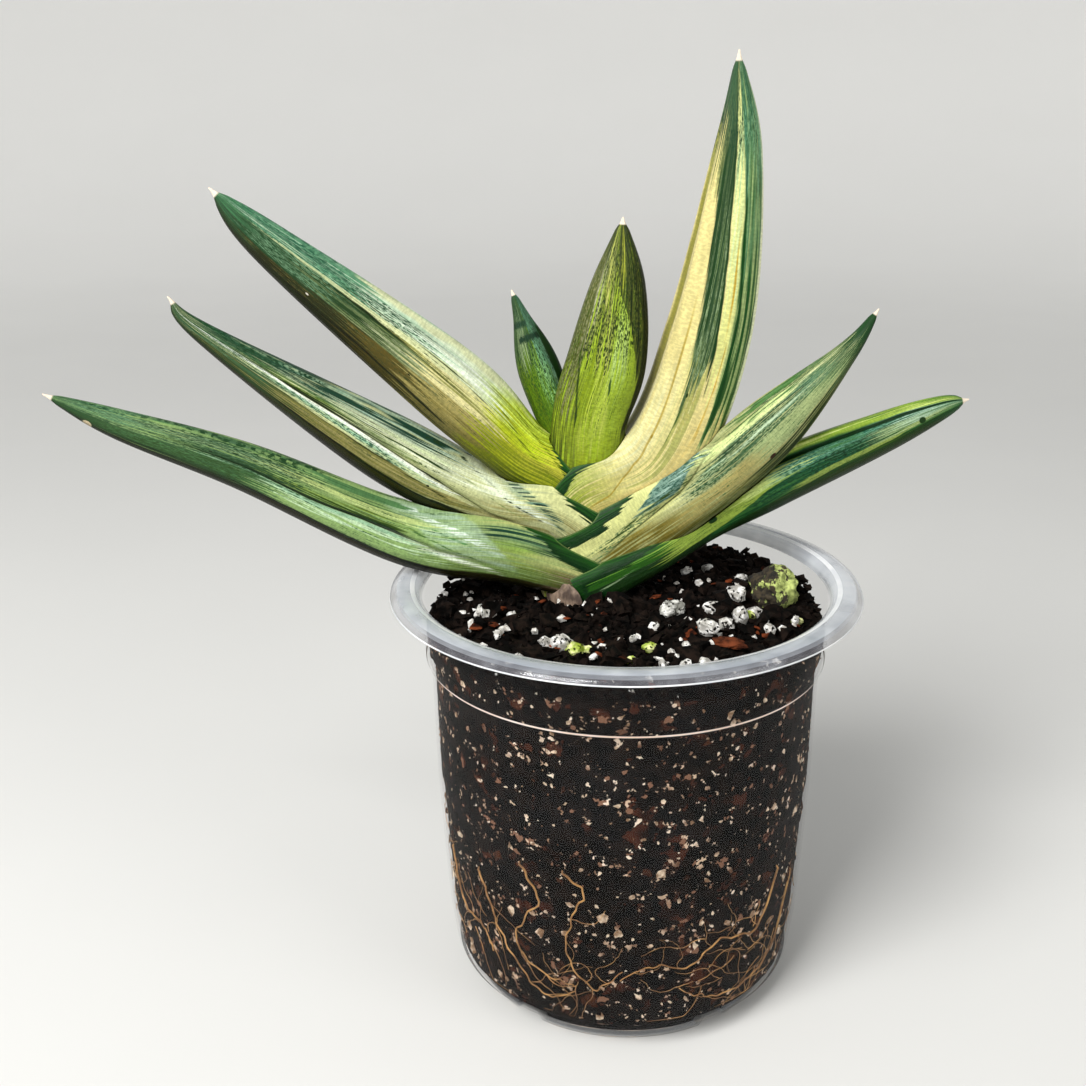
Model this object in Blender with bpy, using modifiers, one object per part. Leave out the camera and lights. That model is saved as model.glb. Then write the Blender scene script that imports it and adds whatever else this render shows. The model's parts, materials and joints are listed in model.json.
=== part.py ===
"""Potted variegated boncel snake plant: thick nested leaves in a fan, in a clear nursery pot of soil.

Frame: metres, +Z up, the viewer at -Y. The origin is the centre of the pot's flat underside.
Sizes below are in millimetres and turned into metres by MM.
"""

import math
import random
from dataclasses import dataclass

import bmesh
import bpy
from mathutils import Matrix, Vector, noise

MM = 0.001
GAP = 0.35  # clearance between touching pieces

# Pot: outer side of the wall, (radius, height), from the middle of the floor up to the rim's lip
WALL = 1.0
CHANNEL_START, CHANNEL_HEIGHT = 18.0, 3.2
CHANNELS = 5
TIER_RADIUS = 43.5
POT_PROFILE = (
    (0, 0),
    (CHANNEL_START - 1, 0),
    (CHANNEL_START + 1, 0),
    (42.4, 0),
    (43.3, 0.9),
    (TIER_RADIUS, 3.0),
    (46.0, 3.2),
    (47.9, 4.4),
    (48.9, 7.0),
    (50.6, 20.0),
    (51.7, 40.0),
    (52.7, 62.0),
    (53.1, 97.0),
    (54.7, 98.6),
    (55.5, 113.0),
    (56.8, 115.6),
    (59.5, 117.2),
    (61.9, 116.7),
    (63.0, 115.2),
    (63.0, 112.8),
)
# Columns of one fifth of the turn, in degrees from the middle of its channel
SECTOR = (0, 4.5, 6.5, 18, 30, 42, 54, 65.5, 67.5)
SOIL_SECTOR = (0, 6.5, 18, 30, 42, 54, 65.5)
CHANNEL_EDGE, SOIL_CHANNEL_EDGE = 5.0, 7.5  # half width of a channel, and of its space in the soil
DRAIN_RADIUS, DRAIN_DIAMETER = 33.0, 5.0

# Soil: its level at the wall, and low mounds on it as (x, y, height, spread)
SOIL_EDGE = 107.4
MOUNDS = ((22, 24, 3.6, 24), (-10, 12, 1.6, 13), (-34, 14, -0.8, 12), (4, -38, -1.0, 16))
LUMP_HEIGHT, LUMP_SIZE = 1.5, 6.5
ROOT_GAP = 2.1  # between the soil and the wall, where the roots run
GRAINS = 24

# Foot of the fan
FOOT_X, FOOT_Y, FOOT_Z = -10.0, 12.0, 99.0
FOOT_LEVEL = 108.0
SHEATH = 62.0  # distance from the foot's middle over which a clasping foot turns into a free leaf

# Dry scale round the left of the foot: an upright curled blade on an ellipse
SCALE_X, SCALE_Y, SCALE_Z = 11.6, 14.4, 103.0
SCALE_TOP = 114.4
SCALE_START, SCALE_TURN = 198.0, 66.0
SCALE_THICKNESS = 0.8
SCALE_ROWS, SCALE_COLUMNS = 5, 8

# Roots: down the inside of the wall, as (degrees round the pot, height) from where each reaches it
ROOT_RADIUS = 0.55
ROOT_CLEARANCE = 0.5  # between a root and the wall
ROOT_STEPS = 9
ROOTS_TOP = 58.0  # above this height the soil reaches the wall
ROOTS_IN_FRONT = (
    ((-121, 55), (-115, 46), (-123, 34), (-122, 27), (-112, 22), (-103, 21)),
    ((-107, 56), (-101, 51), (-105, 41), (-106, 30), (-98, 21), (-90, 27)),
    ((-139, 46), (-134, 38), (-130, 30), (-122, 21), (-113, 15), (-104, 19)),
    ((-158, 44), (-151, 30), (-139, 28), (-134, 22)),
    ((-35, 46), (-44, 31), (-58, 33), (-70, 27), (-80, 29), (-90, 25)),
    ((-24, 40), (-34, 20), (-47, 14), (-62, 15), (-72, 20)),
)
ROOTS_BEHIND = 5  # between these angles, by a seeded rule
BEHIND_FROM, BEHIND_TO = 0.0, 190.0
CROWN_CENTRE = (FOOT_X, FOOT_Y, 90.0)


@dataclass
class Leaf:
    """A leaf in its own upright plane. Stations are (x, z, half breadth) from foot to tip."""

    side: int  # -1 leans left, 1 leans right
    away: float  # degrees that its plane turns away from the viewer
    foot_y: float
    foot_half: float  # half thickness at the foot
    free_half: float  # half thickness of the free leaf
    channel: float  # degrees that the channel turns from the upper side to the viewer
    stations: tuple
    colour: tuple


# From the innermost leaf to the outermost. Each one clasps all those before it.
LEAVES = {
    "leaf_small_back": Leaf(
        -1, 16, 14.6, 1.8, 4.4, 20,
        ((-10, 99, 3), (-11, 127, 5), (-16.5, 150, 5), (-24, 172, 6), (-29, 186, 2.2), (-31.5, 192.5, 0.5)),
        (0.10, 0.21, 0.16),
    ),
    "leaf_centre": Leaf(
        1, -6, 10.2, 2.4, 7.0, -90,
        ((-11, 99, 4), (-12, 126, 8), (-10, 157, 10), (-5, 175, 10.5), (-2, 195.5, 7), (-1, 212, 0.5)),
        (0.36, 0.47, 0.09),
    ),
    "leaf_left_top": Leaf(
        -1, -4, FOOT_Y, 5.6, 8.5, 25,
        ((-4, 100, 5), (-13, 138, 8), (-29, 150.5, 9), (-48, 169.5, 11), (-93, 207, 5.5), (-106.5, 220.5, 0.5)),
        (0.23, 0.36, 0.14),
    ),
    "leaf_right_top": Leaf(
        1, 0, FOOT_Y, 7.2, 9.2, 10,
        ((-15, 106, 8), (-13.5, 135, 11), (8.5, 149, 12.3), (21, 183, 12), (27, 226.5, 6.8), (27, 251.5, 0.5)),
        (0.42, 0.50, 0.20),
    ),
    "leaf_left_mid": Leaf(
        -1, 0, FOOT_Y, 9.0, 9.0, 25,
        ((0, 117, 13), (-17, 133, 9.5), (-38, 137, 8.5), (-65, 150.5, 9.8), (-113.5, 182, 3), (-122.5, 192, 0.5)),
        (0.16, 0.28, 0.18),
    ),
    "leaf_right_mid": Leaf(
        1, -4, FOOT_Y, 10.4, 8.7, -15,
        ((-16, 117, 13.5), (1, 128.5, 11.5), (25, 145.5, 9.5), (40, 159.5, 8.5), (57.5, 178.5, 3), (64.5, 189, 0.5)),
        (0.20, 0.33, 0.16),
    ),
    "leaf_left_low": Leaf(
        -1, -9, FOOT_Y, 11.8, 9.0, 25,
        ((-5, 114.3, 7.2), (-34, 123.8, 9.9), (-62.5, 129.2, 8.7), (-102, 149, 6.5), (-134, 162, 4), (-152, 170.5, 0.5)),
        (0.14, 0.27, 0.13),
    ),
    "leaf_right_low": Leaf(
        1, 3, FOOT_Y, 13.2, 8.6, -25,
        ((-13, 112, 7), (15.5, 126.5, 5.2), (40, 141.5, 8), (69, 154.5, 6), (84.5, 161, 3.5), (92, 163, 0.5)),
        (0.10, 0.24, 0.08),
    ),
}
RINGS, SIDES = 16, 14

# Loose lumps on the soil: place, size, turn, bluntness of form and colour
LUMPS = {
    "moss_lump": ((41, 5, 111.5), (13.0, 10.0, 8.5), 20, 3, (0.20, 0.22, 0.09)),
    "pumice_lump": ((13, -5, 110.5), (7.5, 5.0, 4.5), 35, 5, (0.72, 0.70, 0.62)),
    "bark_chip": ((27, -24, 109.2), (9.0, 4.5, 2.6), -25, 8, (0.20, 0.09, 0.05)),
}


def clear_scene():
    for old in list(bpy.data.objects):
        bpy.data.objects.remove(old, do_unlink=True)


def collection(name):
    made = bpy.data.collections.new(name)
    bpy.context.scene.collection.children.link(made)
    return made


def material(name, colour, roughness, alpha=1.0):
    made = bpy.data.materials.new(name)
    made.use_nodes = True
    shader = made.node_tree.nodes["Principled BSDF"]
    shader.inputs["Base Color"].default_value = (*colour, 1.0)
    shader.inputs["Roughness"].default_value = roughness
    shader.inputs["Metallic"].default_value = 0.0
    shader.inputs["Alpha"].default_value = alpha
    made.diffuse_color = (*colour, alpha)
    return made


def add_mesh(name, bm, target, colour=None, roughness=0.6, alpha=1.0):
    """Puts a bmesh, in millimetres, into the scene as an object in metres."""
    bmesh.ops.recalc_face_normals(bm, faces=bm.faces)
    closed = not any(edge.is_boundary for edge in bm.edges)
    if closed and bm.calc_volume(signed=True) < 0:
        bmesh.ops.reverse_faces(bm, faces=bm.faces)
    bmesh.ops.scale(bm, vec=(MM, MM, MM), verts=bm.verts)
    mesh = bpy.data.meshes.new(name)
    bm.to_mesh(mesh)
    bm.free()
    made = bpy.data.objects.new(name, mesh)
    target.objects.link(made)
    if colour is not None:
        mesh.materials.append(material(name, colour, roughness, alpha))
        mesh.shade_smooth()
        mesh.set_sharp_from_angle(angle=math.radians(40))
    return made


def as_cutter(obj):
    obj.hide_render = True
    obj.display_type = "WIRE"
    return obj


def boolean(obj, operation, other, solver="EXACT"):
    modifier = obj.modifiers.new(operation.lower(), "BOOLEAN")
    modifier.operation = operation
    modifier.solver = solver
    if isinstance(other, bpy.types.Collection):
        modifier.operand_type = "COLLECTION"
        modifier.collection = other
    else:
        modifier.object = other
    return modifier


def apply_modifiers(obj):
    """Replaces the object's mesh by what its modifiers make of it."""
    bpy.context.view_layer.update()
    graph = bpy.context.evaluated_depsgraph_get()
    mesh = bpy.data.meshes.new_from_object(obj.evaluated_get(graph))
    obj.modifiers.clear()
    obj.data = mesh
    return obj


def keep_largest(obj):
    """Applies the cuts and drops the loose scraps that they leave."""
    apply_modifiers(obj)
    bm = bmesh.new()
    bm.from_mesh(obj.data)
    left = set(bm.faces)
    bodies = []
    while left:
        body = [left.pop()]
        for face in body:
            for edge in face.edges:
                for other in edge.link_faces:
                    if other in left:
                        left.remove(other)
                        body.append(other)
        bodies.append(body)
    bodies.sort(key=len, reverse=True)
    scraps = [face for body in bodies[1:] for face in body]
    bmesh.ops.delete(bm, geom=scraps, context="FACES")
    bm.to_mesh(obj.data)
    bm.free()
    return obj


def smooth_step(x):
    x = min(max(x, 0.0), 1.0)
    return x * x * (3 - 2 * x)


def on_curve(points, t):
    """A point at t, from 0 to 1, of the smooth curve through equally spaced points."""
    before = [2 * a - b for a, b in zip(points[0], points[1])]
    after = [2 * a - b for a, b in zip(points[-1], points[-2])]
    row = [before, *points, after]
    place = min(max(t, 0.0), 1.0) * (len(points) - 1)
    i = min(int(place), len(points) - 2)
    f = place - i
    value = []
    for a, b, c, d in zip(*row[i : i + 4]):
        bend = (2 * a - 5 * b + 4 * c - d) * f**2 + (3 * b - a - 3 * c + d) * f**3
        value.append(0.5 * (2 * b + (c - a) * f + bend))
    return value


def turned_surface(profile, angles):
    """An open surface: the profile, from the axis outwards, repeated at each angle."""
    bm = bmesh.new()
    columns = []
    for angle in angles:
        turn = Matrix.Rotation(math.radians(angle), 3, "Z")
        columns.append([bm.verts.new(turn @ Vector((max(r, 1e-4), 0, z))) for r, z in profile])
    for left, right in zip(columns, columns[1:] + columns[:1]):
        for i in range(len(profile) - 1):
            bm.faces.new((left[i], right[i], right[i + 1], left[i + 1]))
    bmesh.ops.remove_doubles(bm, verts=bm.verts, dist=0.01)
    return bm


def all_round(sector):
    """The angles of a sector's columns, repeated at every channel."""
    step = 360 / CHANNELS
    first = -90 + step / 2
    return [first + k * step + angle for k in range(CHANNELS) for angle in sector]


def raise_channels(bm, lowest, height, outer, edge):
    """Lifts the floor to a height between CHANNEL_START and an outer radius at each channel."""
    step = 360 / CHANNELS
    for vert in bm.verts:
        radius = math.hypot(vert.co.x, vert.co.y)
        if vert.co.z > lowest or not CHANNEL_START < radius < outer:
            continue
        angle = math.degrees(math.atan2(vert.co.y, vert.co.x)) + 90 - step / 2
        if abs((angle + step / 2) % step - step / 2) < edge:
            vert.co.z = height


def make_pot(parts, cutters):
    bm = turned_surface(POT_PROFILE, all_round(SECTOR))
    raise_channels(bm, 3.1, CHANNEL_HEIGHT, TIER_RADIUS + 0.1, CHANNEL_EDGE)
    pot = add_mesh("pot", bm, parts, (0.80, 0.84, 0.86), 0.15, 0.35)
    face = min(pot.data.polygons, key=lambda f: f.center.z)
    if face.normal.z > 0:
        pot.data.flip_normals()
    shell = pot.modifiers.new("wall", "SOLIDIFY")
    shell.thickness = WALL * MM
    shell.offset = -1
    shell.use_even_offset = True
    step = 360 / CHANNELS
    for k in range(CHANNELS):
        angle = math.radians(-90 + step / 2 + k * step)
        bm = bmesh.new()
        bmesh.ops.create_cone(
            bm,
            cap_ends=True,
            segments=16,
            radius1=DRAIN_DIAMETER / 2,
            radius2=DRAIN_DIAMETER / 2,
            depth=6,
            matrix=Matrix.Translation(
                (DRAIN_RADIUS * math.cos(angle), DRAIN_RADIUS * math.sin(angle), CHANNEL_HEIGHT)
            ),
        )
        hole = as_cutter(add_mesh(f"drain_{k + 1}", bm, cutters))
        boolean(pot, "DIFFERENCE", hole)
    return pot


def soil_level(x, y):
    level = SOIL_EDGE
    for mound_x, mound_y, height, spread in MOUNDS:
        level += height * math.exp(-((x - mound_x) ** 2 + (y - mound_y) ** 2) / (2 * spread**2))
    lumps = noise.noise(Vector((x / LUMP_SIZE, y / LUMP_SIZE, 3.7)))
    lumps += 0.5 * noise.noise(Vector((2 * x / LUMP_SIZE, 2 * y / LUMP_SIZE, 8.1)))
    edge = smooth_step((53 - math.hypot(x, y)) / 6)
    return level + LUMP_HEIGHT * lumps * (0.4 + 0.6 * edge)


def wall_radius(z):
    """Inner radius of the pot's wall at a height above its bottom corner."""
    wall = [point for point in POT_PROFILE if point[1] >= 7]
    for (r0, z0), (r1, z1) in zip(wall, wall[1:]):
        if z <= z1:
            return r0 + (r1 - r0) * (max(z, z0) - z0) / (z1 - z0) - WALL
    return wall[-1][0] - WALL


def soil_profile():
    floor = WALL + 0.3
    low = [(0, floor), (CHANNEL_START - 2.0, floor), (CHANNEL_START + 0.3, floor), (40.8, floor)]
    low += [(42.0, 2.4), (42.1, 4.5), (44.4, 4.8), (46.0, 6.6)]
    side = [(wall_radius(z) - ROOT_GAP, z) for z in (20, 40, ROOTS_TOP)]
    side += [(wall_radius(z) - GAP, z) for z in (ROOTS_TOP + 4, 97.0)]
    side += [(53.2, 99.6), (53.8, SOIL_EDGE - 0.8)]
    return low + side + [(radius, SOIL_EDGE) for radius in (52, 46, 39, 32, 24, 16, 8, 0)]


def grain_form(bm, centre, size, rng):
    """A rough grain: a squashed, turned icosahedron with its corners moved."""
    turn = Matrix.Rotation(rng.uniform(0, math.tau), 4, "Z") @ Matrix.Rotation(rng.uniform(-0.5, 0.5), 4, "X")
    squash = Matrix.Diagonal((1.0, rng.uniform(0.65, 0.95), rng.uniform(0.55, 0.8), 1.0))
    made = bmesh.ops.create_icosphere(
        bm, subdivisions=1, radius=size / 2, matrix=Matrix.Translation(centre) @ turn @ squash
    )
    for vert in made["verts"]:
        vert.co += Vector([rng.uniform(-0.09, 0.09) * size for _ in range(3)])


def clear_of_things(x, y, reach):
    """Whether a grain here stays off the fan's foot and the loose lumps."""
    if math.hypot((x - FOOT_X) / 15, (y - FOOT_Y) / 17) < 1:
        return False
    for (lump_x, lump_y, _), (length, _, _), *_ in LUMPS.values():
        if math.hypot(x - lump_x, y - lump_y) < length / 2 + reach:
            return False
    return True


def make_soil(parts, holes):
    bm = turned_surface(soil_profile(), all_round(SOIL_SECTOR))
    raise_channels(bm, 2.5, CHANNEL_HEIGHT + WALL + 0.3, 42.05, SOIL_CHANNEL_EDGE)
    for vert in bm.verts:
        if vert.co.z > SOIL_EDGE - 0.01:
            vert.co.z = soil_level(vert.co.x, vert.co.y)
    soil = add_mesh("soil", bm, parts, (0.035, 0.026, 0.020), 0.95)

    rng = random.Random(11)
    grains = collection("grains")
    placed = []
    while len(placed) < GRAINS:
        radius = 48.5 * math.sqrt(rng.random())
        angle = rng.uniform(0, math.tau)
        x, y = radius * math.cos(angle), radius * math.sin(angle)
        size = rng.choice((2.6, 3.2, 3.8, 4.6, 5.4))
        apart = all(math.hypot(x - a, y - b) > (size + c) / 2 + 0.4 for a, b, c in placed)
        if not apart or not clear_of_things(x, y, size / 2 + 0.6):
            continue
        placed.append((x, y, size))
        bm = bmesh.new()
        grain_form(bm, Vector((x, y, soil_level(x, y) + 0.12 * size)), size, rng)
        add_mesh(f"grain_{len(placed)}", bm, grains)
    boolean(soil, "UNION", grains, "MANIFOLD")
    apply_modifiers(soil)
    for grain in list(grains.objects):
        bpy.data.objects.remove(grain, do_unlink=True)
    bpy.data.collections.remove(grains)
    for hole in holes:
        boolean(soil, "DIFFERENCE", hole, "MANIFOLD")
    return keep_largest(soil)


def leaf_rings(leaf, grow=0.0):
    """Rings of points round the leaf, from foot to tip, enlarged by grow all round."""
    away = math.radians(leaf.away)
    front = Vector((leaf.side * math.sin(away), -math.cos(away), 0))
    stations = [on_curve(leaf.stations, k / RINGS) for k in range(RINGS + 1)]
    middles = []
    for x, z, _ in stations:
        run = (x - FOOT_X) * leaf.side
        back = run * math.sin(away) * smooth_step(run / 40)
        middles.append(Vector((FOOT_X + leaf.side * run * math.cos(away), leaf.foot_y + back, z)))
    runs = [0.0]
    for a, b in zip(middles, middles[1:]):
        runs.append(runs[-1] + (b - a).length)
    fullest = max(station[2] for station, run in zip(stations, runs) if run > 0.3 * runs[-1])
    rings = []
    for k, (middle, run) in enumerate(zip(middles, runs)):
        ahead = middles[min(k + 1, RINGS)] - middles[max(k - 1, 0)]
        inward = front.cross(ahead).normalized() * leaf.side
        breadth = max(stations[k][2], 0.4)
        out = (middle - Vector((FOOT_X, leaf.foot_y, FOOT_LEVEL))).length
        free = smooth_step((out - 6) / SHEATH)
        thick = leaf.foot_half + (leaf.free_half - leaf.foot_half) * free
        if run > 0.3 * runs[-1]:
            thick *= breadth / fullest
        power = 4.0 - 1.8 * free
        dip = 0.24 * free * smooth_step(breadth / 4)
        ring = []
        for s in range(SIDES):
            angle = math.tau * s / SIDES
            c, n = math.cos(angle), math.sin(angle)
            reach = (abs(c) ** power + abs(n) ** power) ** (-1 / power)
            off = (math.degrees(angle) - leaf.channel + 180) % 360 - 180
            reach *= 1 - dip * math.exp(-((off / 32) ** 2))
            ring.append(middle + inward * c * (breadth * reach + grow) + front * n * (thick * reach + grow))
        rings.append(ring)
    if grow:
        rings[-1] = [point + (middles[-1] - middles[-2]).normalized() * grow for point in rings[-1]]
    return rings


def leaf_form(leaf, grow=0.0, bottom=FOOT_Z):
    """A closed leaf, lofted through its rings and cut level at the bottom."""
    bm = bmesh.new()
    rows = [[bm.verts.new(point) for point in ring] for ring in leaf_rings(leaf, grow)]
    for low, high in zip(rows, rows[1:]):
        for s in range(SIDES):
            t = (s + 1) % SIDES
            bm.faces.new((low[s], low[t], high[t], high[s]))
    bm.faces.new(rows[0])
    bm.faces.new(rows[-1])
    cut = bmesh.ops.bisect_plane(
        bm,
        geom=bm.verts[:] + bm.edges[:] + bm.faces[:],
        plane_co=(0, 0, bottom),
        plane_no=(0, 0, 1),
        clear_inner=True,
    )
    edges = [item for item in cut["geom_cut"] if isinstance(item, bmesh.types.BMEdge)]
    if edges:
        bmesh.ops.holes_fill(bm, edges=edges)
    bmesh.ops.triangulate(bm, faces=bm.faces)
    return bm


def make_leaves(parts, cutters):
    """Each leaf clasps the inner ones: their forms, a little enlarged, are cut out of it."""
    inner = []
    for name, leaf in LEAVES.items():
        made = add_mesh(name, leaf_form(leaf), parts, leaf.colour, 0.35)
        for cutter in inner:
            boolean(made, "DIFFERENCE", cutter)
        keep_largest(made)
        bm = leaf_form(leaf, GAP, FOOT_Z - 1)
        inner.append(as_cutter(add_mesh(f"round_{name}", bm, cutters)))
    return inner


def lump_form(place, size, turn, seed, grow=0.0):
    """A rough stone or chip: a cube-like ball pressed to its size, with a broken surface."""
    bm = bmesh.new()
    bmesh.ops.create_icosphere(bm, subdivisions=2, radius=1.0)
    for vert in bm.verts:
        rough = 1 + 0.22 * noise.noise(vert.co * 1.6 + Vector((seed, 0, 0)))
        half = [extent / 2 * rough + grow for extent in size]
        vert.co = Vector([vert.co[i] * half[i] for i in range(3)])
    bmesh.ops.rotate(bm, matrix=Matrix.Rotation(math.radians(turn), 3, "Z"), verts=bm.verts)
    bmesh.ops.translate(bm, vec=place, verts=bm.verts)
    return bm


def make_lumps(parts, cutters):
    pockets = []
    for name, (place, size, turn, seed, colour) in LUMPS.items():
        add_mesh(name, lump_form(place, size, turn, seed), parts, colour, 0.9)
        pocket = add_mesh(f"round_{name}", lump_form(place, size, turn, seed, GAP), cutters)
        pockets.append(as_cutter(pocket))
    return pockets


def sheath_blade(name, target, grow=0.0, colour=None):
    """A thin blade round the foot of the outer leaves, its right end curled outwards."""
    bm = bmesh.new()
    rows = []
    for j in range(SCALE_ROWS + 1):
        up = j / SCALE_ROWS
        row = []
        for i in range(SCALE_COLUMNS + 1):
            along = i / SCALE_COLUMNS
            turn = math.radians(SCALE_START + SCALE_TURN * along + 4 * grow * (2 * along - 1))
            flare = 0.9 * up**2 + 1.6 * max(0.0, along - 0.7)
            top = SCALE_TOP + 1.4 * math.sin(2.6 * i)
            x = FOOT_X + (SCALE_X + flare) * math.cos(turn)
            y = FOOT_Y + (SCALE_Y + flare) * math.sin(turn)
            row.append(bm.verts.new((x, y, SCALE_Z + (top - SCALE_Z) * up + grow * (2 * up - 1))))
        rows.append(row)
    for low, high in zip(rows, rows[1:]):
        for i in range(SCALE_COLUMNS):
            bm.faces.new((low[i], low[i + 1], high[i + 1], high[i]))
    blade = add_mesh(name, bm, target, colour, 0.8)
    shell = blade.modifiers.new("thickness", "SOLIDIFY")
    shell.thickness = (SCALE_THICKNESS + 2 * grow) * MM
    shell.offset = 0
    return blade


def make_dry_sheath(parts, cutters, inner):
    """The dry papery scale at the left foot, and the slot that it needs in the soil."""
    scale = sheath_blade("dry_sheath", parts, colour=(0.33, 0.20, 0.10))
    for cutter in inner:
        boolean(scale, "DIFFERENCE", cutter)
    keep_largest(scale)
    slot = apply_modifiers(sheath_blade("round_dry_sheath", cutters, GAP))
    return as_cutter(slot)


def roots_behind():
    """Wall stations of the roots that the fan's back side has, bending down and then round the pot."""
    rng = random.Random(5)
    found = []
    for k in range(ROOTS_BEHIND):
        turn = BEHIND_FROM + (BEHIND_TO - BEHIND_FROM) * (k + 0.5) / ROOTS_BEHIND + rng.uniform(-9, 9)
        height, low = rng.uniform(44, 56), rng.uniform(13, 26)
        sweep = rng.choice((-1, 1)) * rng.uniform(22, 34)
        bend = rng.uniform(-6, 6)
        middle = (height + low) / 2
        found.append(((turn, height), (turn + bend, middle), (turn + 0.3 * sweep, low), (turn + sweep, low + bend)))
    return found


def root_path(stations):
    """From the crown out through the soil to the wall, then along the wall through its stations."""
    crown = Vector(CROWN_CENTRE)
    on_wall = []
    for k in range(ROOT_STEPS + 1):
        turn, z = on_curve(stations, k / ROOT_STEPS)
        radius = wall_radius(z) - ROOT_CLEARANCE - ROOT_RADIUS
        on_wall.append(Vector((radius * math.cos(math.radians(turn)), radius * math.sin(math.radians(turn)), z)))
    first = on_wall[0]
    across = [crown.lerp(first, 0.3) + Vector((0, 0, 4)), crown.lerp(first, 0.75) + Vector((0, 0, 5))]
    return [crown, *across, *on_wall]


def tube(name, points, radius, target):
    """A root as a mesh, made from a curve with a round bevel."""
    curve = bpy.data.curves.new(name, "CURVE")
    curve.dimensions = "3D"
    curve.bevel_depth = radius * MM
    curve.bevel_resolution = 1
    curve.use_fill_caps = True
    line = curve.splines.new("POLY")
    line.points.add(len(points) - 1)
    for point, place in zip(line.points, points):
        point.co = (*(place * MM), 1)
    guide = bpy.data.objects.new(name, curve)
    target.objects.link(guide)
    bpy.context.view_layer.update()
    graph = bpy.context.evaluated_depsgraph_get()
    mesh = bpy.data.meshes.new_from_object(guide.evaluated_get(graph))
    bpy.data.objects.remove(guide, do_unlink=True)
    bm = bmesh.new()
    bm.from_mesh(mesh)
    bmesh.ops.remove_doubles(bm, verts=bm.verts, dist=1e-6)
    bmesh.ops.recalc_face_normals(bm, faces=bm.faces)
    bm.to_mesh(mesh)
    bm.free()
    made = bpy.data.objects.new(name, mesh)
    target.objects.link(made)
    return made


def crown_form(grow=0.0):
    """The short rhizome under the leaves, flat where they stand on it."""
    bm = bmesh.new()
    bmesh.ops.create_uvsphere(bm, u_segments=14, v_segments=8, radius=1.0)
    for vert in bm.verts:
        vert.co = Vector((vert.co.x * (9 + grow), vert.co.y * (9.5 + grow), vert.co.z * (11 + grow)))
        vert.co += Vector(CROWN_CENTRE)
        vert.co.z = min(vert.co.z, FOOT_Z - GAP + grow)
    bmesh.ops.remove_doubles(bm, verts=bm.verts, dist=0.01)
    return bm


def make_roots(parts, cutters):
    """The crown and its roots, fused in one body, and the space that they need in the soil."""
    roots = add_mesh("roots", crown_form(), parts, (0.38, 0.21, 0.07), 0.7)
    space = as_cutter(add_mesh("root_space", crown_form(GAP), cutters))
    paths = [root_path(stations) for stations in (*ROOTS_IN_FRONT, *roots_behind())]
    for obj, extra in ((roots, 0.0), (space, GAP)):
        strands = collection("strands")
        for k, path in enumerate(paths):
            tube(f"strand_{k + 1}", path[:5] if extra else path, ROOT_RADIUS + extra, strands)
        boolean(obj, "UNION", strands, "MANIFOLD")
        apply_modifiers(obj)
        for strand in list(strands.objects):
            bpy.data.objects.remove(strand, do_unlink=True)
        bpy.data.collections.remove(strands)
    return space


def main():
    clear_scene()
    parts = collection("potted_snake_plant")
    cutters = collection("cutters")
    make_pot(parts, cutters)
    inner = make_leaves(parts, cutters)
    slot = make_dry_sheath(parts, cutters, inner)
    pockets = make_lumps(parts, cutters)
    space = make_roots(parts, cutters)
    make_soil(parts, [space, slot, *pockets, *inner])


main()
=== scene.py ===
# %% [markdown]
# # A small potted snake plant in a clear nursery pot
# This script dresses the solid model of a young striped snake plant: eight thick leaves that clasp
# each other at the foot, in a clear pot of dark soil with roots along the wall.
# Both share one frame and one size. The script loads the solid model first and never changes it.
# Each piece below stands in for one of its nodes with more faces and a finish of its own.

# %% Load the fixed model
import json
import math
import random
from dataclasses import dataclass

import bmesh
import bpy
from mathutils import Matrix, Vector, noise
from mathutils.bvhtree import BVHTree
from mathutils.interpolate import poly_3d_calc
from mathutils.kdtree import KDTree

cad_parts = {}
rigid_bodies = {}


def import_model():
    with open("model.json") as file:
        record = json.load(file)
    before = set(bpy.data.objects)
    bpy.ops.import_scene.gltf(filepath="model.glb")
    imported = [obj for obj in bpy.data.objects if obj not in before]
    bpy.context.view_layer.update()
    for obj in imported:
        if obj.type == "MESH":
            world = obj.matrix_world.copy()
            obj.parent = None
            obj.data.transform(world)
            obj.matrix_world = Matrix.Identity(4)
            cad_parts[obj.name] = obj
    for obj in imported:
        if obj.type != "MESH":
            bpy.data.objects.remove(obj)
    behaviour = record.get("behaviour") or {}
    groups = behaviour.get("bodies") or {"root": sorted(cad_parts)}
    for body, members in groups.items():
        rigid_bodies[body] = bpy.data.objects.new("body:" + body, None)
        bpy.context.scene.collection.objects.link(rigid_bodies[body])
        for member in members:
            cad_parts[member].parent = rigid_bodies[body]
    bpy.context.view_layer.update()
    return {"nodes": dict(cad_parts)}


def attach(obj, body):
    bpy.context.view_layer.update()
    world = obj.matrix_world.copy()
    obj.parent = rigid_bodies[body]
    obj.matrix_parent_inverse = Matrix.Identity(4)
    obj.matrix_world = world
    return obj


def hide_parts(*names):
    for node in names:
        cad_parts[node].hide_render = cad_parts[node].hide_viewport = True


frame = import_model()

MM = 0.001
scene = bpy.context.scene
scene.view_settings.view_transform = "Standard"
print("nodes of the solid model:", ", ".join(sorted(frame["nodes"])))

# %% [markdown]
# ## The camera
# The photographer stood close and looked down a little. The place, the turn and the focal length
# were fitted to the pot's rim and foot, so a leaf that is placed in millimetres lands on its pixel.

# %% Set the camera
IMAGE_SIDE, FOCAL_PIXELS, SENSOR = 1086, 1284.3, 36.0
CAMERA_PLACE = Vector((0.0, -326.5, 244.1))
YAW, PITCH, ROLL = (math.radians(angle) for angle in (-3.853, 19.658, -0.805))


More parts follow.
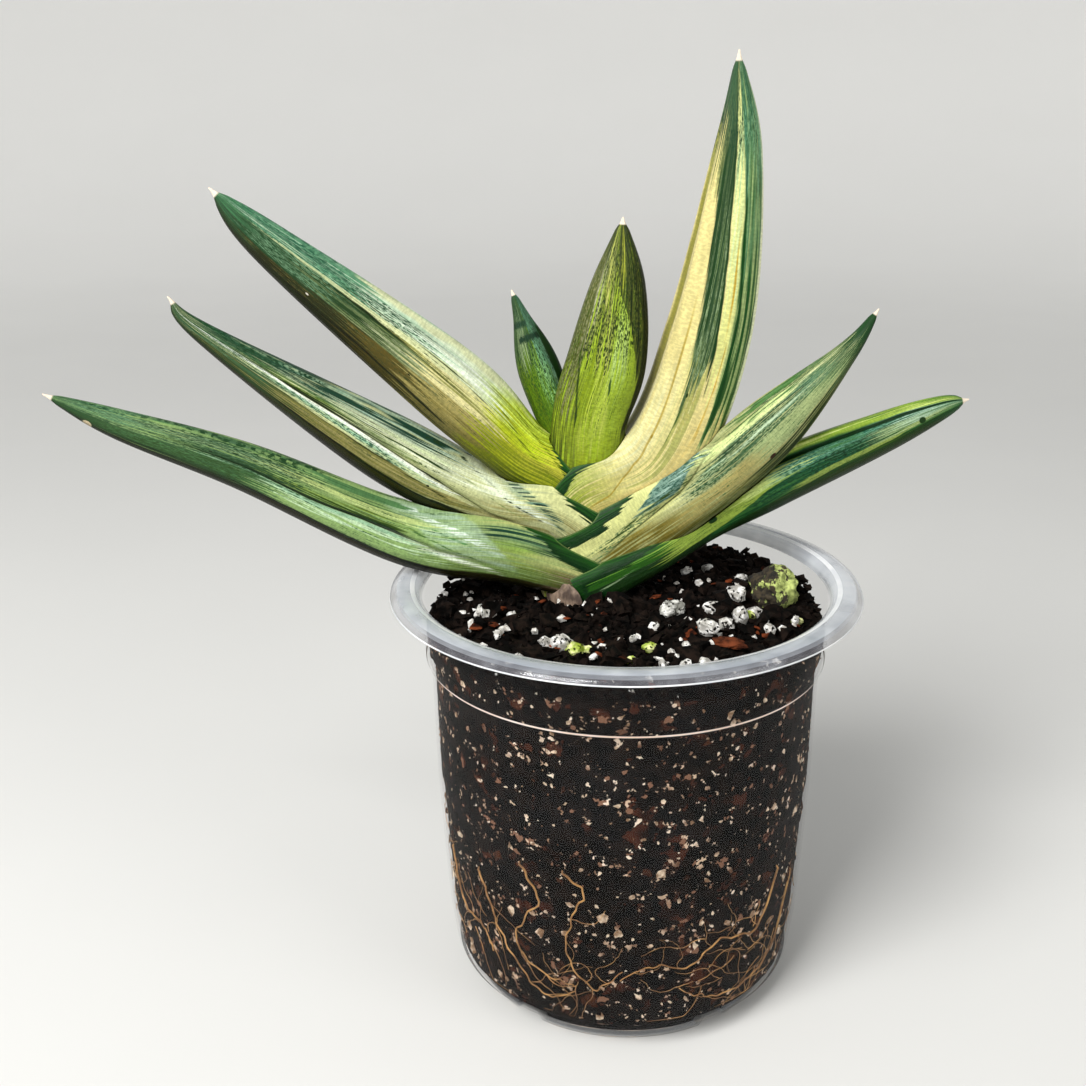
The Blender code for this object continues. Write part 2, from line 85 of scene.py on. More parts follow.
def camera_turn(yaw, pitch, roll):
    """The camera's axes as a matrix: it looks along its own -Z with +Y up."""
    ahead = Vector((math.sin(yaw) * math.cos(pitch), math.cos(yaw) * math.cos(pitch), -math.sin(pitch)))
    right = Vector((math.cos(yaw), -math.sin(yaw), 0.0))
    up = right.cross(ahead)
    level = math.cos(roll) * right + math.sin(roll) * up
    upright = math.cos(roll) * up - math.sin(roll) * right
    return Matrix((level, upright, -ahead)).transposed()


camera = bpy.data.objects.new("camera", bpy.data.cameras.new("camera"))
scene.collection.objects.link(camera)
camera.data.sensor_width = SENSOR
camera.data.lens = FOCAL_PIXELS / IMAGE_SIDE * SENSOR
camera.data.clip_start, camera.data.clip_end = 0.01, 20.0
camera.matrix_world = Matrix.Translation(CAMERA_PLACE * MM) @ camera_turn(YAW, PITCH, ROLL).to_4x4()
scene.camera = camera
print("camera lens in mm:", round(camera.data.lens, 2))

# %% [markdown]
# ## Finishes from nodes
# Every finish is a Principled shader whose colour, roughness and relief come from nodes.
# One small class keeps the wiring short, so that the finishes below read like a recipe.
# Colours are written as six-digit codes, as in a paint chart, and turned into the linear values
# that the shader wants.

# %% A wiring helper for finishes
SOCKET = bpy.types.NodeSocket


def paint(code):
    """A linear colour from a six-digit code such as #eed98a."""
    parts = [int(code[i : i + 2], 16) / 255 for i in (1, 3, 5)]
    linear = [p / 12.92 if p <= 0.04045 else ((p + 0.055) / 1.055) ** 2.4 for p in parts]
    return (*linear, 1.0)


class Finish:
    """A material under construction, with short calls for the nodes that it needs."""

    def __init__(self, name, **constants):
        self.material = bpy.data.materials.new(name)
        self.material.use_nodes = True
        self.tree = self.material.node_tree
        self.shader = self.tree.nodes["Principled BSDF"]
        for key, value in constants.items():
            self.shader.inputs[key.replace("_", " ")].default_value = value

    def add(self, kind, inputs, output=0, **settings):
        """A new node, with its inputs fed and its settings made. Returns one of its outputs."""
        node = self.tree.nodes.new("ShaderNode" + kind)
        for key, value in settings.items():
            setattr(node, key, value)
        for key, value in inputs.items():
            self.feed(node.inputs[key], value)
        return node.outputs[output]

    def feed(self, socket, value):
        """Links an output to the socket, or writes a plain value into it."""
        if isinstance(value, SOCKET):
            self.tree.links.new(value, socket)
        else:
            socket.default_value = value

    def calc(self, operation, *values):
        """A sum, a product or another operation on numbers."""
        return self.add("Math", dict(enumerate(values)), operation=operation)

    def times(self, product, *others):
        """The product of two or more values."""
        for other in others:
            product = self.calc("MULTIPLY", product, other)
        return product

    def fade(self, value, low, high, start=0.0, end=1.0, kind="SMOOTHSTEP"):
        """Turns low..high of a value into start..end, softly, and holds it there beyond."""
        sockets = {"Value": value, "From Min": low, "From Max": high, "To Min": start, "To Max": end}
        return self.add("MapRange", sockets, interpolation_type=kind)

    def mix(self, amount, below, above):
        """A colour between two others."""
        return self.add("Mix", {0: amount, 6: below, 7: above}, output=2, data_type="RGBA")

    def tones(self, value, low, high, dark, light):
        """A colour that turns from dark at a low value to light at a high one."""
        return self.mix(self.fade(value, low, high), paint(dark), paint(light))

    def join(self, x, y, z):
        """One vector from three numbers."""
        return self.add("CombineXYZ", {"X": x, "Y": y, "Z": z})

    def split(self, vector):
        """Three numbers from one vector."""
        node = self.tree.nodes.new("ShaderNodeSeparateXYZ")
        self.feed(node.inputs[0], vector)
        return node.outputs[0], node.outputs[1], node.outputs[2]

    def noise(self, vector, scale, detail=2.0, roughness=0.55):
        """Cloudy noise from 0 to 1, finer with a larger scale."""
        sockets = {"Vector": vector, "Scale": scale, "Detail": detail, "Roughness": roughness}
        return self.add("TexNoise", sockets)

    def attribute(self, name):
        """A vector that was stored with each point of the mesh."""
        return self.add("Attribute", {}, output=1, attribute_name=name)

    def place(self):
        """The place of a point in its own object, in metres."""
        return self.add("TexCoord", {}, output=3)

    def relief(self, height, depth, strength=1.0):
        """Bumps the surface by a height map, with depth in metres."""
        sockets = {"Height": height, "Distance": depth, "Strength": strength}
        self.feed(self.shader.inputs["Normal"], self.add("Bump", sockets))

    def set(self, name, value):
        """Feeds an input of the shader."""
        self.feed(self.shader.inputs[name], value)


print("finishes are built by", Finish.__name__)

# %% [markdown]
# ## The studio
# A plain pale floor that curves up all round gives an even backdrop from every side.
# One large soft light from above and the left models the leaves, a second one fills the right,
# and the pale sky lifts the shadows. Large lights make soft edges, which suits waxy leaves.

# %% Pale floor with a rising rim
FLOOR_RADIUS, RIM_STEPS, RIM_RISE = 1.3, 12, 1.6
GLOW_START, GLOW_FULL, GLOW = 0.35, 2.2, 0.32  # the floor glows softly far out, radii in metres


def studio_floor():
    """A disc whose edge is extruded ring by ring into a rising quarter turn."""
    bm = bmesh.new()
    bmesh.ops.create_circle(bm, cap_ends=True, segments=96, radius=FLOOR_RADIUS)
    edge = [e for e in bm.edges if e.is_boundary]
    for k in range(1, RIM_STEPS + 1):
        made = bmesh.ops.extrude_edge_only(bm, edges=edge)["geom"]
        ring = [v for v in made if isinstance(v, bmesh.types.BMVert)]
        edge = [e for e in made if isinstance(e, bmesh.types.BMEdge)]
        turn = math.pi / 2 * k / RIM_STEPS
        for vert in ring:
            outward = Vector((vert.co.x, vert.co.y, 0)).normalized()
            vert.co = outward * (FLOOR_RADIUS + RIM_RISE * math.sin(turn))
            vert.co.z = RIM_RISE * (1 - math.cos(turn))
    mesh = bpy.data.meshes.new("studio_floor")
    bm.to_mesh(mesh)
    bm.free()
    mesh.shade_smooth()
    return bpy.data.objects.new("studio_floor", mesh)


floor = studio_floor()
scene.collection.objects.link(floor)
floor_finish = Finish("pale floor", Roughness=0.85, Emission_Color=paint("#f4f3f0"))
mottle = floor_finish.noise(floor_finish.place(), 6.0)
floor_finish.set("Base Color", floor_finish.mix(mottle, paint("#deddd9"), paint("#e4e3df")))
far_out = floor_finish.add("VectorMath", {0: floor_finish.place()}, output=1, operation="LENGTH")
floor_finish.set("Emission Strength", floor_finish.fade(far_out, GLOW_START, GLOW_FULL, 0.0, GLOW))
floor.data.materials.append(floor_finish.material)
print("floor faces:", len(floor.data.polygons))

# %% Soft lights
SKY_COLOUR, SKY_STRENGTH = paint("#eef1f4"), 0.34


def softbox(name, place, aim, size, watts):
    """A square lamp that looks from its place at a point."""
    lamp = bpy.data.lights.new(name, "AREA")
    lamp.size, lamp.energy = size, watts
    made = bpy.data.objects.new(name, lamp)
    made.location = place
    made.rotation_euler = (Vector(aim) - Vector(place)).to_track_quat("-Z", "Y").to_euler()
    scene.collection.objects.link(made)
    return made


key_light = softbox("key_light", (-0.5, -0.7, 0.95), (0, 0, 0.12), 0.55, 17.0)
fill_light = softbox("fill_light", (0.95, -0.6, 0.7), (0, 0, 0.1), 0.6, 3.0)
sky = bpy.data.worlds.new("sky")
scene.world = sky
sky.use_nodes = True
sky.node_tree.nodes["Background"].inputs["Color"].default_value = SKY_COLOUR
sky.node_tree.nodes["Background"].inputs["Strength"].default_value = SKY_STRENGTH
print("lamps:", key_light.data.energy, fill_light.data.energy, "W, sky", SKY_STRENGTH)

# %% [markdown]
# ## Shared mesh helpers
# The shapes are worked out in millimetres and turned into metres when a mesh is finished.
# A smooth curve through a few stations shapes the leaves and the roots.

# %% Mesh helpers
def smooth_step(x):
    """A soft step from 0 at 0 to 1 at 1."""
    x = min(max(x, 0.0), 1.0)
    return x * x * (3 - 2 * x)


def on_curve(points, t):
    """A point at t, from 0 to 1, of the smooth curve through equally spaced points."""
    before = [2 * a - b for a, b in zip(points[0], points[1])]
    after = [2 * a - b for a, b in zip(points[-1], points[-2])]
    row = [before, *points, after]
    place = min(max(t, 0.0), 1.0) * (len(points) - 1)
    i = min(int(place), len(points) - 2)
    f = place - i
    value = []
    for a, b, c, d in zip(*row[i : i + 4]):
        bend = (2 * a - 5 * b + 4 * c - d) * f**2 + (3 * b - a - 3 * c + d) * f**3
        value.append(0.5 * (2 * b + (c - a) * f + bend))
    return value


def between(points, t):
    """The second number at t, on straight lines through (t, number) points."""
    for (t0, a), (t1, b) in zip(points, points[1:]):
        if t <= t1:
            return a + (b - a) * (max(t, t0) - t0) / (t1 - t0)
    return points[-1][1]


def finish_mesh(name, bm, sharp=40.0):
    """Turns a bmesh in millimetres into a smooth-shaded object in metres."""
    bmesh.ops.scale(bm, vec=(MM, MM, MM), verts=bm.verts)
    mesh = bpy.data.meshes.new(name)
    bm.to_mesh(mesh)
    bm.free()
    mesh.shade_smooth()
    mesh.set_sharp_from_angle(angle=math.radians(sharp))
    made = bpy.data.objects.new(name, mesh)
    scene.collection.objects.link(made)
    return made


def face_outwards(bm):
    """Recalculates the normals of a closed form and makes them point out."""
    bmesh.ops.recalc_face_normals(bm, faces=bm.faces)
    if bm.calc_volume(signed=True) < 0:
        bmesh.ops.reverse_faces(bm, faces=bm.faces)


def cut(obj, cutters):
    """Takes every form of a collection out of the object, and keeps its largest body."""
    step = obj.modifiers.new("cut", "BOOLEAN")
    step.operation, step.solver = "DIFFERENCE", "MANIFOLD"
    step.operand_type, step.collection = "COLLECTION", cutters
    apply_steps(obj)
    bm = bmesh.new()
    bm.from_mesh(obj.data)
    left = set(bm.faces)
    bodies = []
    while left:
        body = [left.pop()]
        for face in body:
            for other in {f for e in face.edges for f in e.link_faces} & left:
                left.remove(other)
                body.append(other)
        bodies.append(body)
    bodies.sort(key=len, reverse=True)
    scraps = [face for body in bodies[1:] for face in body]
    bmesh.ops.delete(bm, geom=scraps, context="FACES")
    bm.to_mesh(obj.data)
    bm.free()


def apply_steps(obj):
    """Turns the object's modifiers into its mesh."""
    bpy.context.view_layer.update()
    graph = bpy.context.evaluated_depsgraph_get()
    mesh = bpy.data.meshes.new_from_object(obj.evaluated_get(graph))
    obj.modifiers.clear()
    obj.data = mesh


def put_in_place(obj, node, slot, *finishes):
    """Gives the piece its finishes and lets it stand in for a node of the solid model."""
    obj.data.materials.clear()
    for finish in finishes:
        obj.data.materials.append(finish.material)
    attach(obj, "root")
    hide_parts(node)


def cutter_group(name):
    """A collection for forms that only cut others."""
    made = bpy.data.collections.new(name)
    scene.collection.children.link(made)
    return made


def move_to(obj, group):
    """Puts a cutting form into its group and out of sight."""
    scene.collection.objects.unlink(obj)
    group.objects.link(obj)
    obj.hide_render = True


print("a soft step at 0.25:", round(smooth_step(0.25), 3))

# %% [markdown]
# ## Leaf forms
# A leaf of this plant is a thick spindle, almost round, with a shallow channel on its upper side
# and a fold or two where the flesh has shrunk. Its foot is a wide sheath that clasps the younger
# leaves inside it. The form is a tube: a ring of points is extruded from the foot to the tip, and
# each ring is laid on the leaf's curve. Extruding a ring keeps the grid even, so a stripe can
# follow it. Three numbers go with each point: how far across it lies, on which side, and how far
# along.

# %% Leaf stations from foot to tip
FOOT_X, FOOT_Y, FOOT_Z = -10.0, 12.0, 99.0
FOOT_LEVEL, SHEATH = 108.0, 62.0
RINGS, SIDES = 120, 120
GAP = 0.35
FOLD_OVER, FOLD_UNDER = 4.0, 15.0  # a fold is steep under the lobe above it and gentle below


@dataclass
class Leaf:
    """A leaf in its own upright plane. Stations are (x, z, half breadth) from foot to tip."""

    side: int  # -1 leans left, 1 leans right
    away: float  # degrees that its plane turns away from the viewer
    foot_y: float
    foot_half: float  # half thickness at the foot
    free_half: float  # half thickness of the free leaf
    channel: float  # degrees that the channel turns from the upper side to the viewer
    stations: tuple
    fold: tuple  # (along, across) of the fold on the side in view, across from 0 above to 1 below
    fold_depth: float
    clasp: float  # how far along the dark band of the sheath reaches


LEAVES = {
    "small_back": Leaf(
        -1, 16, 14.6, 1.8, 4.4, 20,
        ((-10, 99, 3), (-11, 127, 5), (-16.5, 150, 5), (-24, 172, 6), (-29, 186, 2.2), (-31.5, 192.5, 0.5)),
        ((0, 0.3), (1, 0.3)), 0.0, 0.1,
    ),
    "centre": Leaf(
        1, -6, 10.2, 2.4, 7.0, -90,
        ((-11, 99, 4), (-12, 126, 8), (-10, 157, 10), (-5, 175, 10.5), (-2, 195.5, 7), (-1, 212, 0.5)),
        ((0, 0.4), (0.55, 0.36), (0.8, 0.3), (1, 0.45)), 0.012, 0.1,
    ),
    "left_top": Leaf(
        -1, -4, FOOT_Y, 5.6, 8.5, 25,
        (
            (-4, 100, 5), (-13, 138, 8), (-29, 150.5, 9), (-48, 169.5, 11),
            (-93, 207, 5.5), (-106.5, 220.5, 0.5),
        ),
        ((0, 0.35), (0.28, 0.35), (0.4, 0.22), (1, 0.2)), 0.02, 0.34,
    ),
    "right_top": Leaf(
        1, 0, FOOT_Y, 7.2, 9.2, 10,
        (
            (-15, 106, 8), (-13.5, 135, 11), (8.5, 149, 12.3), (21, 183, 12),
            (27, 226.5, 6.8), (27, 251.5, 0.5),
        ),
        ((0, 0.8), (0.25, 0.58), (0.28, 0.44), (0.31, 0.35), (0.36, 0.3), (0.5, 0.28), (1, 0.26)),
        0.05, 0.27,
    ),
    "left_mid": Leaf(
        -1, 0, FOOT_Y, 9.0, 9.0, 25,
        (
            (0, 117, 13), (-17, 133, 9.5), (-38, 137, 8.5), (-65, 150.5, 9.8),
            (-113.5, 182, 3), (-122.5, 192, 0.5),
        ),
        (
            (0, 0.8), (0.2, 0.76), (0.3, 0.65), (0.35, 0.545), (0.4, 0.47), (0.45, 0.425),
            (0.5, 0.39), (0.55, 0.36), (0.6, 0.335), (0.72, 0.325), (0.77, 0.29), (1, 0.25),
        ),
        0.2, 0.2,
    ),
    "right_mid": Leaf(
        1, -4, FOOT_Y, 10.4, 8.7, -15,
        (
            (-16, 117, 13.5), (1, 128.5, 11.5), (25, 145.5, 9.5), (40, 159.5, 8.5),
            (57.5, 178.5, 3), (64.5, 189, 0.5),
        ),
        (
            (0, 0.64), (0.1, 0.58), (0.19, 0.5), (0.27, 0.455), (0.36, 0.39),
            (0.41, 0.3), (0.46, 0.18), (0.5, 0.1), (1, 0.06),
        ),
        0.13, 0.28,
    ),
    "left_low": Leaf(
        -1, -9, FOOT_Y, 11.8, 9.0, 25,
        (
            (-5, 114.3, 7.2), (-34, 123.8, 9.9), (-62.5, 129.2, 8.7), (-102, 149, 6.5),
            (-134, 162, 4), (-152, 170.5, 0.5),
        ),
        (
            (0, 0.8), (0.2, 0.7), (0.313, 0.53), (0.35, 0.45), (0.387, 0.41), (0.448, 0.39),
            (0.51, 0.44), (0.546, 0.455), (0.6, 0.43), (0.663, 0.38), (1, 0.3),
        ),
        0.2, 0.2,
    ),
    "right_low": Leaf(
        1, 3, FOOT_Y, 13.2, 8.6, -25,
        (
            (-13, 112, 7), (15.5, 126.5, 5.2), (40, 141.5, 8), (69, 154.5, 6),
            (84.5, 161, 3.5), (92, 163, 0.5),
        ),
        ((0, 0.13), (0.5, 0.13), (0.7, 0.14), (0.85, 0.17), (1, 0.25)), 0.2, 0.23,
    ),
}
print("leaves, from the innermost:", ", ".join(LEAVES))


# %% The leaf's surface law
SQUARENESS, ROUNDING = 4.0, 1.8  # the ring's power at the foot, and how much of it the free leaf loses
CHANNEL_DIP, CHANNEL_WIDTH = 0.24, 32  # share of the reach, and degrees
LOBE_SHARE, LOBE_OFF, LOBE_WIDTH = 0.4, 15, 9  # the swelling above a fold
TIP_START, TIP_SHRINK = 0.97, 0.55  # the dead tip is a thin spine
RIPPLE, RIPPLES_ROUND, RIPPLES_ALONG = 0.012, 7, 3
LEAST_BREADTH, PLANE_TURN_RUN = 0.4, 40


def leaf_middles(leaf):
    """Stations and middle points of the leaf's rings."""
    away = math.radians(leaf.away)
    stations = [on_curve(leaf.stations, k / RINGS) for k in range(RINGS + 1)]
    middles = []
    for x, z, _ in stations:
        run = (x - FOOT_X) * leaf.side
        back = run * math.sin(away) * smooth_step(run / PLANE_TURN_RUN)
        middles.append(Vector((FOOT_X + leaf.side * run * math.cos(away), leaf.foot_y + back, z)))
    return stations, middles


def fold_span(leaf, along):
    """How strongly the fold shows at this distance along the leaf."""
    return smooth_step((along - 0.2) / 0.14) * smooth_step((0.93 - along) / 0.25)


def leaf_rings(leaf, grow=0.0):
    """Rings of (point, (across, side, along)) from foot to tip, enlarged by grow all round."""
    away = math.radians(leaf.away)
    front = Vector((leaf.side * math.sin(away), -math.cos(away), 0))
    stations, middles = leaf_middles(leaf)
    runs = [0.0]
    for a, b in zip(middles, middles[1:]):
        runs.append(runs[-1] + (b - a).length)
    fullest = max(station[2] for station, run in zip(stations, runs) if run > 0.3 * runs[-1])
    rings = []
    for k, (middle, run) in enumerate(zip(middles, runs)):
        along = run / runs[-1]
        ahead = middles[min(k + 4, RINGS)] - middles[max(k - 4, 0)]
        inward = front.cross(ahead).normalized() * leaf.side
        breadth = max(stations[k][2], LEAST_BREADTH)
        out = (middle - Vector((FOOT_X, leaf.foot_y, FOOT_LEVEL))).length
        free = smooth_step((out - 6) / SHEATH)
        thick = leaf.foot_half + (leaf.free_half - leaf.foot_half) * free
        thick *= 1 + (breadth / fullest - 1) * smooth_step((along - 0.2) / 0.2)
        if not grow:
            spine = 1 - TIP_SHRINK * smooth_step((along - TIP_START) / 0.03)
            breadth, thick = breadth * spine, thick * spine
        power = SQUARENESS - ROUNDING * free
        dip = CHANNEL_DIP * free * smooth_step(breadth / 4)
        fold_angle = math.degrees(math.acos(1 - 2 * between(leaf.fold, along)))
        fold_dip = leaf.fold_depth * fold_span(leaf, along)
        ring = []
        for s in range(SIDES):
            angle = math.tau * s / SIDES
            c, n = math.cos(angle), math.sin(angle)
            reach = (abs(c) ** power + abs(n) ** power) ** (-1 / power)
            off = (math.degrees(angle) - leaf.channel + 180) % 360 - 180
            reach *= 1 - dip * math.exp(-((off / CHANNEL_WIDTH) ** 2))
            if not grow:
                crease = (math.degrees(angle) - fold_angle + 180) % 360 - 180
                width = FOLD_UNDER if crease > 0 else FOLD_OVER
                reach *= 1 - fold_dip * math.exp(-((crease / width) ** 2))
                reach *= 1 + LOBE_SHARE * fold_dip * math.exp(-(((crease + LOBE_OFF) / LOBE_WIDTH) ** 2))
                spot = (RIPPLES_ROUND * c, RIPPLES_ROUND * n, RIPPLES_ALONG * along + 9 * leaf.foot_half)
                reach *= 1 + RIPPLE * noise.noise(Vector(spot))
            point = middle + inward * c * (breadth * reach + grow) + front * n * (thick * reach + grow)
            ring.append((point, ((1 - c) / 2, n, along)))
        rings.append(ring)
    return rings


def leaf_form(leaf, grow=0.0, bottom=FOOT_Z):
    """A closed leaf: one ring extruded along the curve, capped, and cut level at the foot."""
    rings = leaf_rings(leaf, grow)
    if grow:
        ahead = (rings[-1][0][0] - rings[-3][0][0]).normalized() * grow
        rings[-1] = [(point + ahead, place) for point, place in rings[-1]]
    bm = bmesh.new()
    spoke = bm.verts.layers.int.new("spoke")
    where = bm.verts.layers.float_vector.new("place")
    ring = bmesh.ops.create_circle(bm, cap_ends=False, segments=SIDES, radius=1.0)["verts"]
    for s, vert in enumerate(ring):
        vert[spoke] = s
    edge = bm.edges[:]
    for k, points in enumerate(rings):
        if k:
            made = bmesh.ops.extrude_edge_only(bm, edges=edge)["geom"]
            ring = [v for v in made if isinstance(v, bmesh.types.BMVert)]
            edge = [e for e in made if isinstance(e, bmesh.types.BMEdge)]
        else:
            foot = edge
        for vert in ring:
            vert.co, vert[where] = points[vert[spoke]]
    bmesh.ops.edgeloop_fill(bm, edges=foot)
    bmesh.ops.edgeloop_fill(bm, edges=edge)
    sliced = bmesh.ops.bisect_plane(
        bm, geom=bm.verts[:] + bm.edges[:] + bm.faces[:],
        plane_co=(0, 0, bottom), plane_no=(0, 0, 1), clear_inner=True,
    )
    rim = [item for item in sliced["geom_cut"] if isinstance(item, bmesh.types.BMEdge)]
    if rim:
        bmesh.ops.holes_fill(bm, edges=rim)
    face_outwards(bm)
    return bm


print("points round each leaf:", SIDES, "and rings along it:", RINGS + 1)

# %% [markdown]
# ## Nesting the leaves
# Each sheath wraps the leaves inside it, and its free edge lies on them as a thin dark band.
# Taking the inner leaves, a little enlarged, out of the outer one gives that hollow and that edge
# exactly. The cut makes new points, so each point then asks the uncut leaf where it lies. Its
# distance from the free edge is kept too, because the edge has a colour of its own.

# %% Cut and mark the leaves
TOUCH = 0.03 * MM
SHEATH_END, ABOVE_SOIL, FAR_AWAY = 0.6, 0.105, 99.0  # share of the leaf, metres and millimetres


def skin_of(mesh):
    """A search tree over a mesh's faces."""
    return BVHTree.FromPolygons([v.co for v in mesh.vertices], [p.vertices for p in mesh.polygons])


def mark_places(obj, whole, cutters, leaf):
    """Gives each point its (across, side, along), and its distances from the fold and the edge."""
    mesh, skin = obj.data, skin_of(whole)
    inner = [skin_of(cutter.data) for cutter in cutters.objects]
    places = whole.attributes["place"].data
    found, seam = [], []
    for vert in mesh.vertices:
        spot, _, index, far = skin.find_nearest(vert.co)
        corners = whole.polygons[index].vertices
        shares = poly_3d_calc([whole.vertices[i].co for i in corners], spot)
        place = sum((places[i].vector * share for i, share in zip(corners, shares)), Vector())
        found.append(place)
        on_edge = far < TOUCH and place.z < SHEATH_END and vert.co.z > ABOVE_SOIL
        if on_edge and any(tree.find_nearest(vert.co, TOUCH)[0] for tree in inner):
            seam.append(vert.co)
    edge = KDTree(max(len(seam), 1))
    for i, point in enumerate(seam):
        edge.insert(point, i)
    edge.balance()
    trail = []
    for vert, place in zip(mesh.vertices, found):
        far = edge.find(vert.co)[2] / MM if seam else FAR_AWAY
        trail.append((place.x - between(leaf.fold, place.z), min(far, FAR_AWAY), 0.0))
    for name, values in (("place", found), ("trail", trail)):
        if name in mesh.attributes:
            mesh.attributes.remove(mesh.attributes[name])
        layer = mesh.attributes.new(name, "FLOAT_VECTOR", "POINT")
        layer.data.foreach_set("vector", [number for value in values for number in value])
    return len(seam)


inner_leaves = cutter_group("inner_leaves")
leaf_pieces = {}
for name, leaf in LEAVES.items():
    piece = finish_mesh(f"striped_{name}_leaf", leaf_form(leaf))
    whole = piece.data.copy()
    if len(inner_leaves.objects):
        cut(piece, inner_leaves)
    marked = mark_places(piece, whole, inner_leaves, leaf)
    piece.data.shade_smooth()
    piece.data.set_sharp_from_angle(angle=math.radians(45))
    leaf_pieces[name] = piece
    move_to(finish_mesh(f"round_{name}", leaf_form(leaf, GAP, FOOT_Z - 1)), inner_leaves)
    print(name, "leaf:", len(piece.data.polygons), "faces,", marked, "points on the edge of its sheath")

# %% [markdown]
# ## The striped skin
# The stripes of a variegated leaf run from foot to tip, and they start and stop in ragged fingers,
# because each one grew from a few cells. So each stripe here lies between an upper and a lower
# edge, given across the leaf in percent from 0 above to 100 below, and spans a part of its length.
# Noise that is drawn out along the leaf frays its ends and edges. Thin lines and dashes are finer
# noise, cut high. The skin itself is waxy, with fine ribs and a pebbled grain.

# %% Stripe painter
SOFT_EDGES = {"band": (0.01, 0.004), "haze": (0.035, 0.05)}  # how soft a stripe is across and along
SHARP_EDGES = (0.01, 0.02)
BAND_WIDTH, BAND_TAPER, BAND_FRAY = 4.0, 0.1, 5.0  # mm, share of the leaf, mm
DRY_TIP = (0.982, 0.986)
DEPTH_OF_COLOUR = 1.1  # wet-looking flesh: the darks a little deeper than the paints


def line(half, *path):
    """Both edges of a narrow stripe that follows a path of (along, across) points."""
    return tuple((a, w - half) for a, w in path), tuple((a, w + half) for a, w in path)


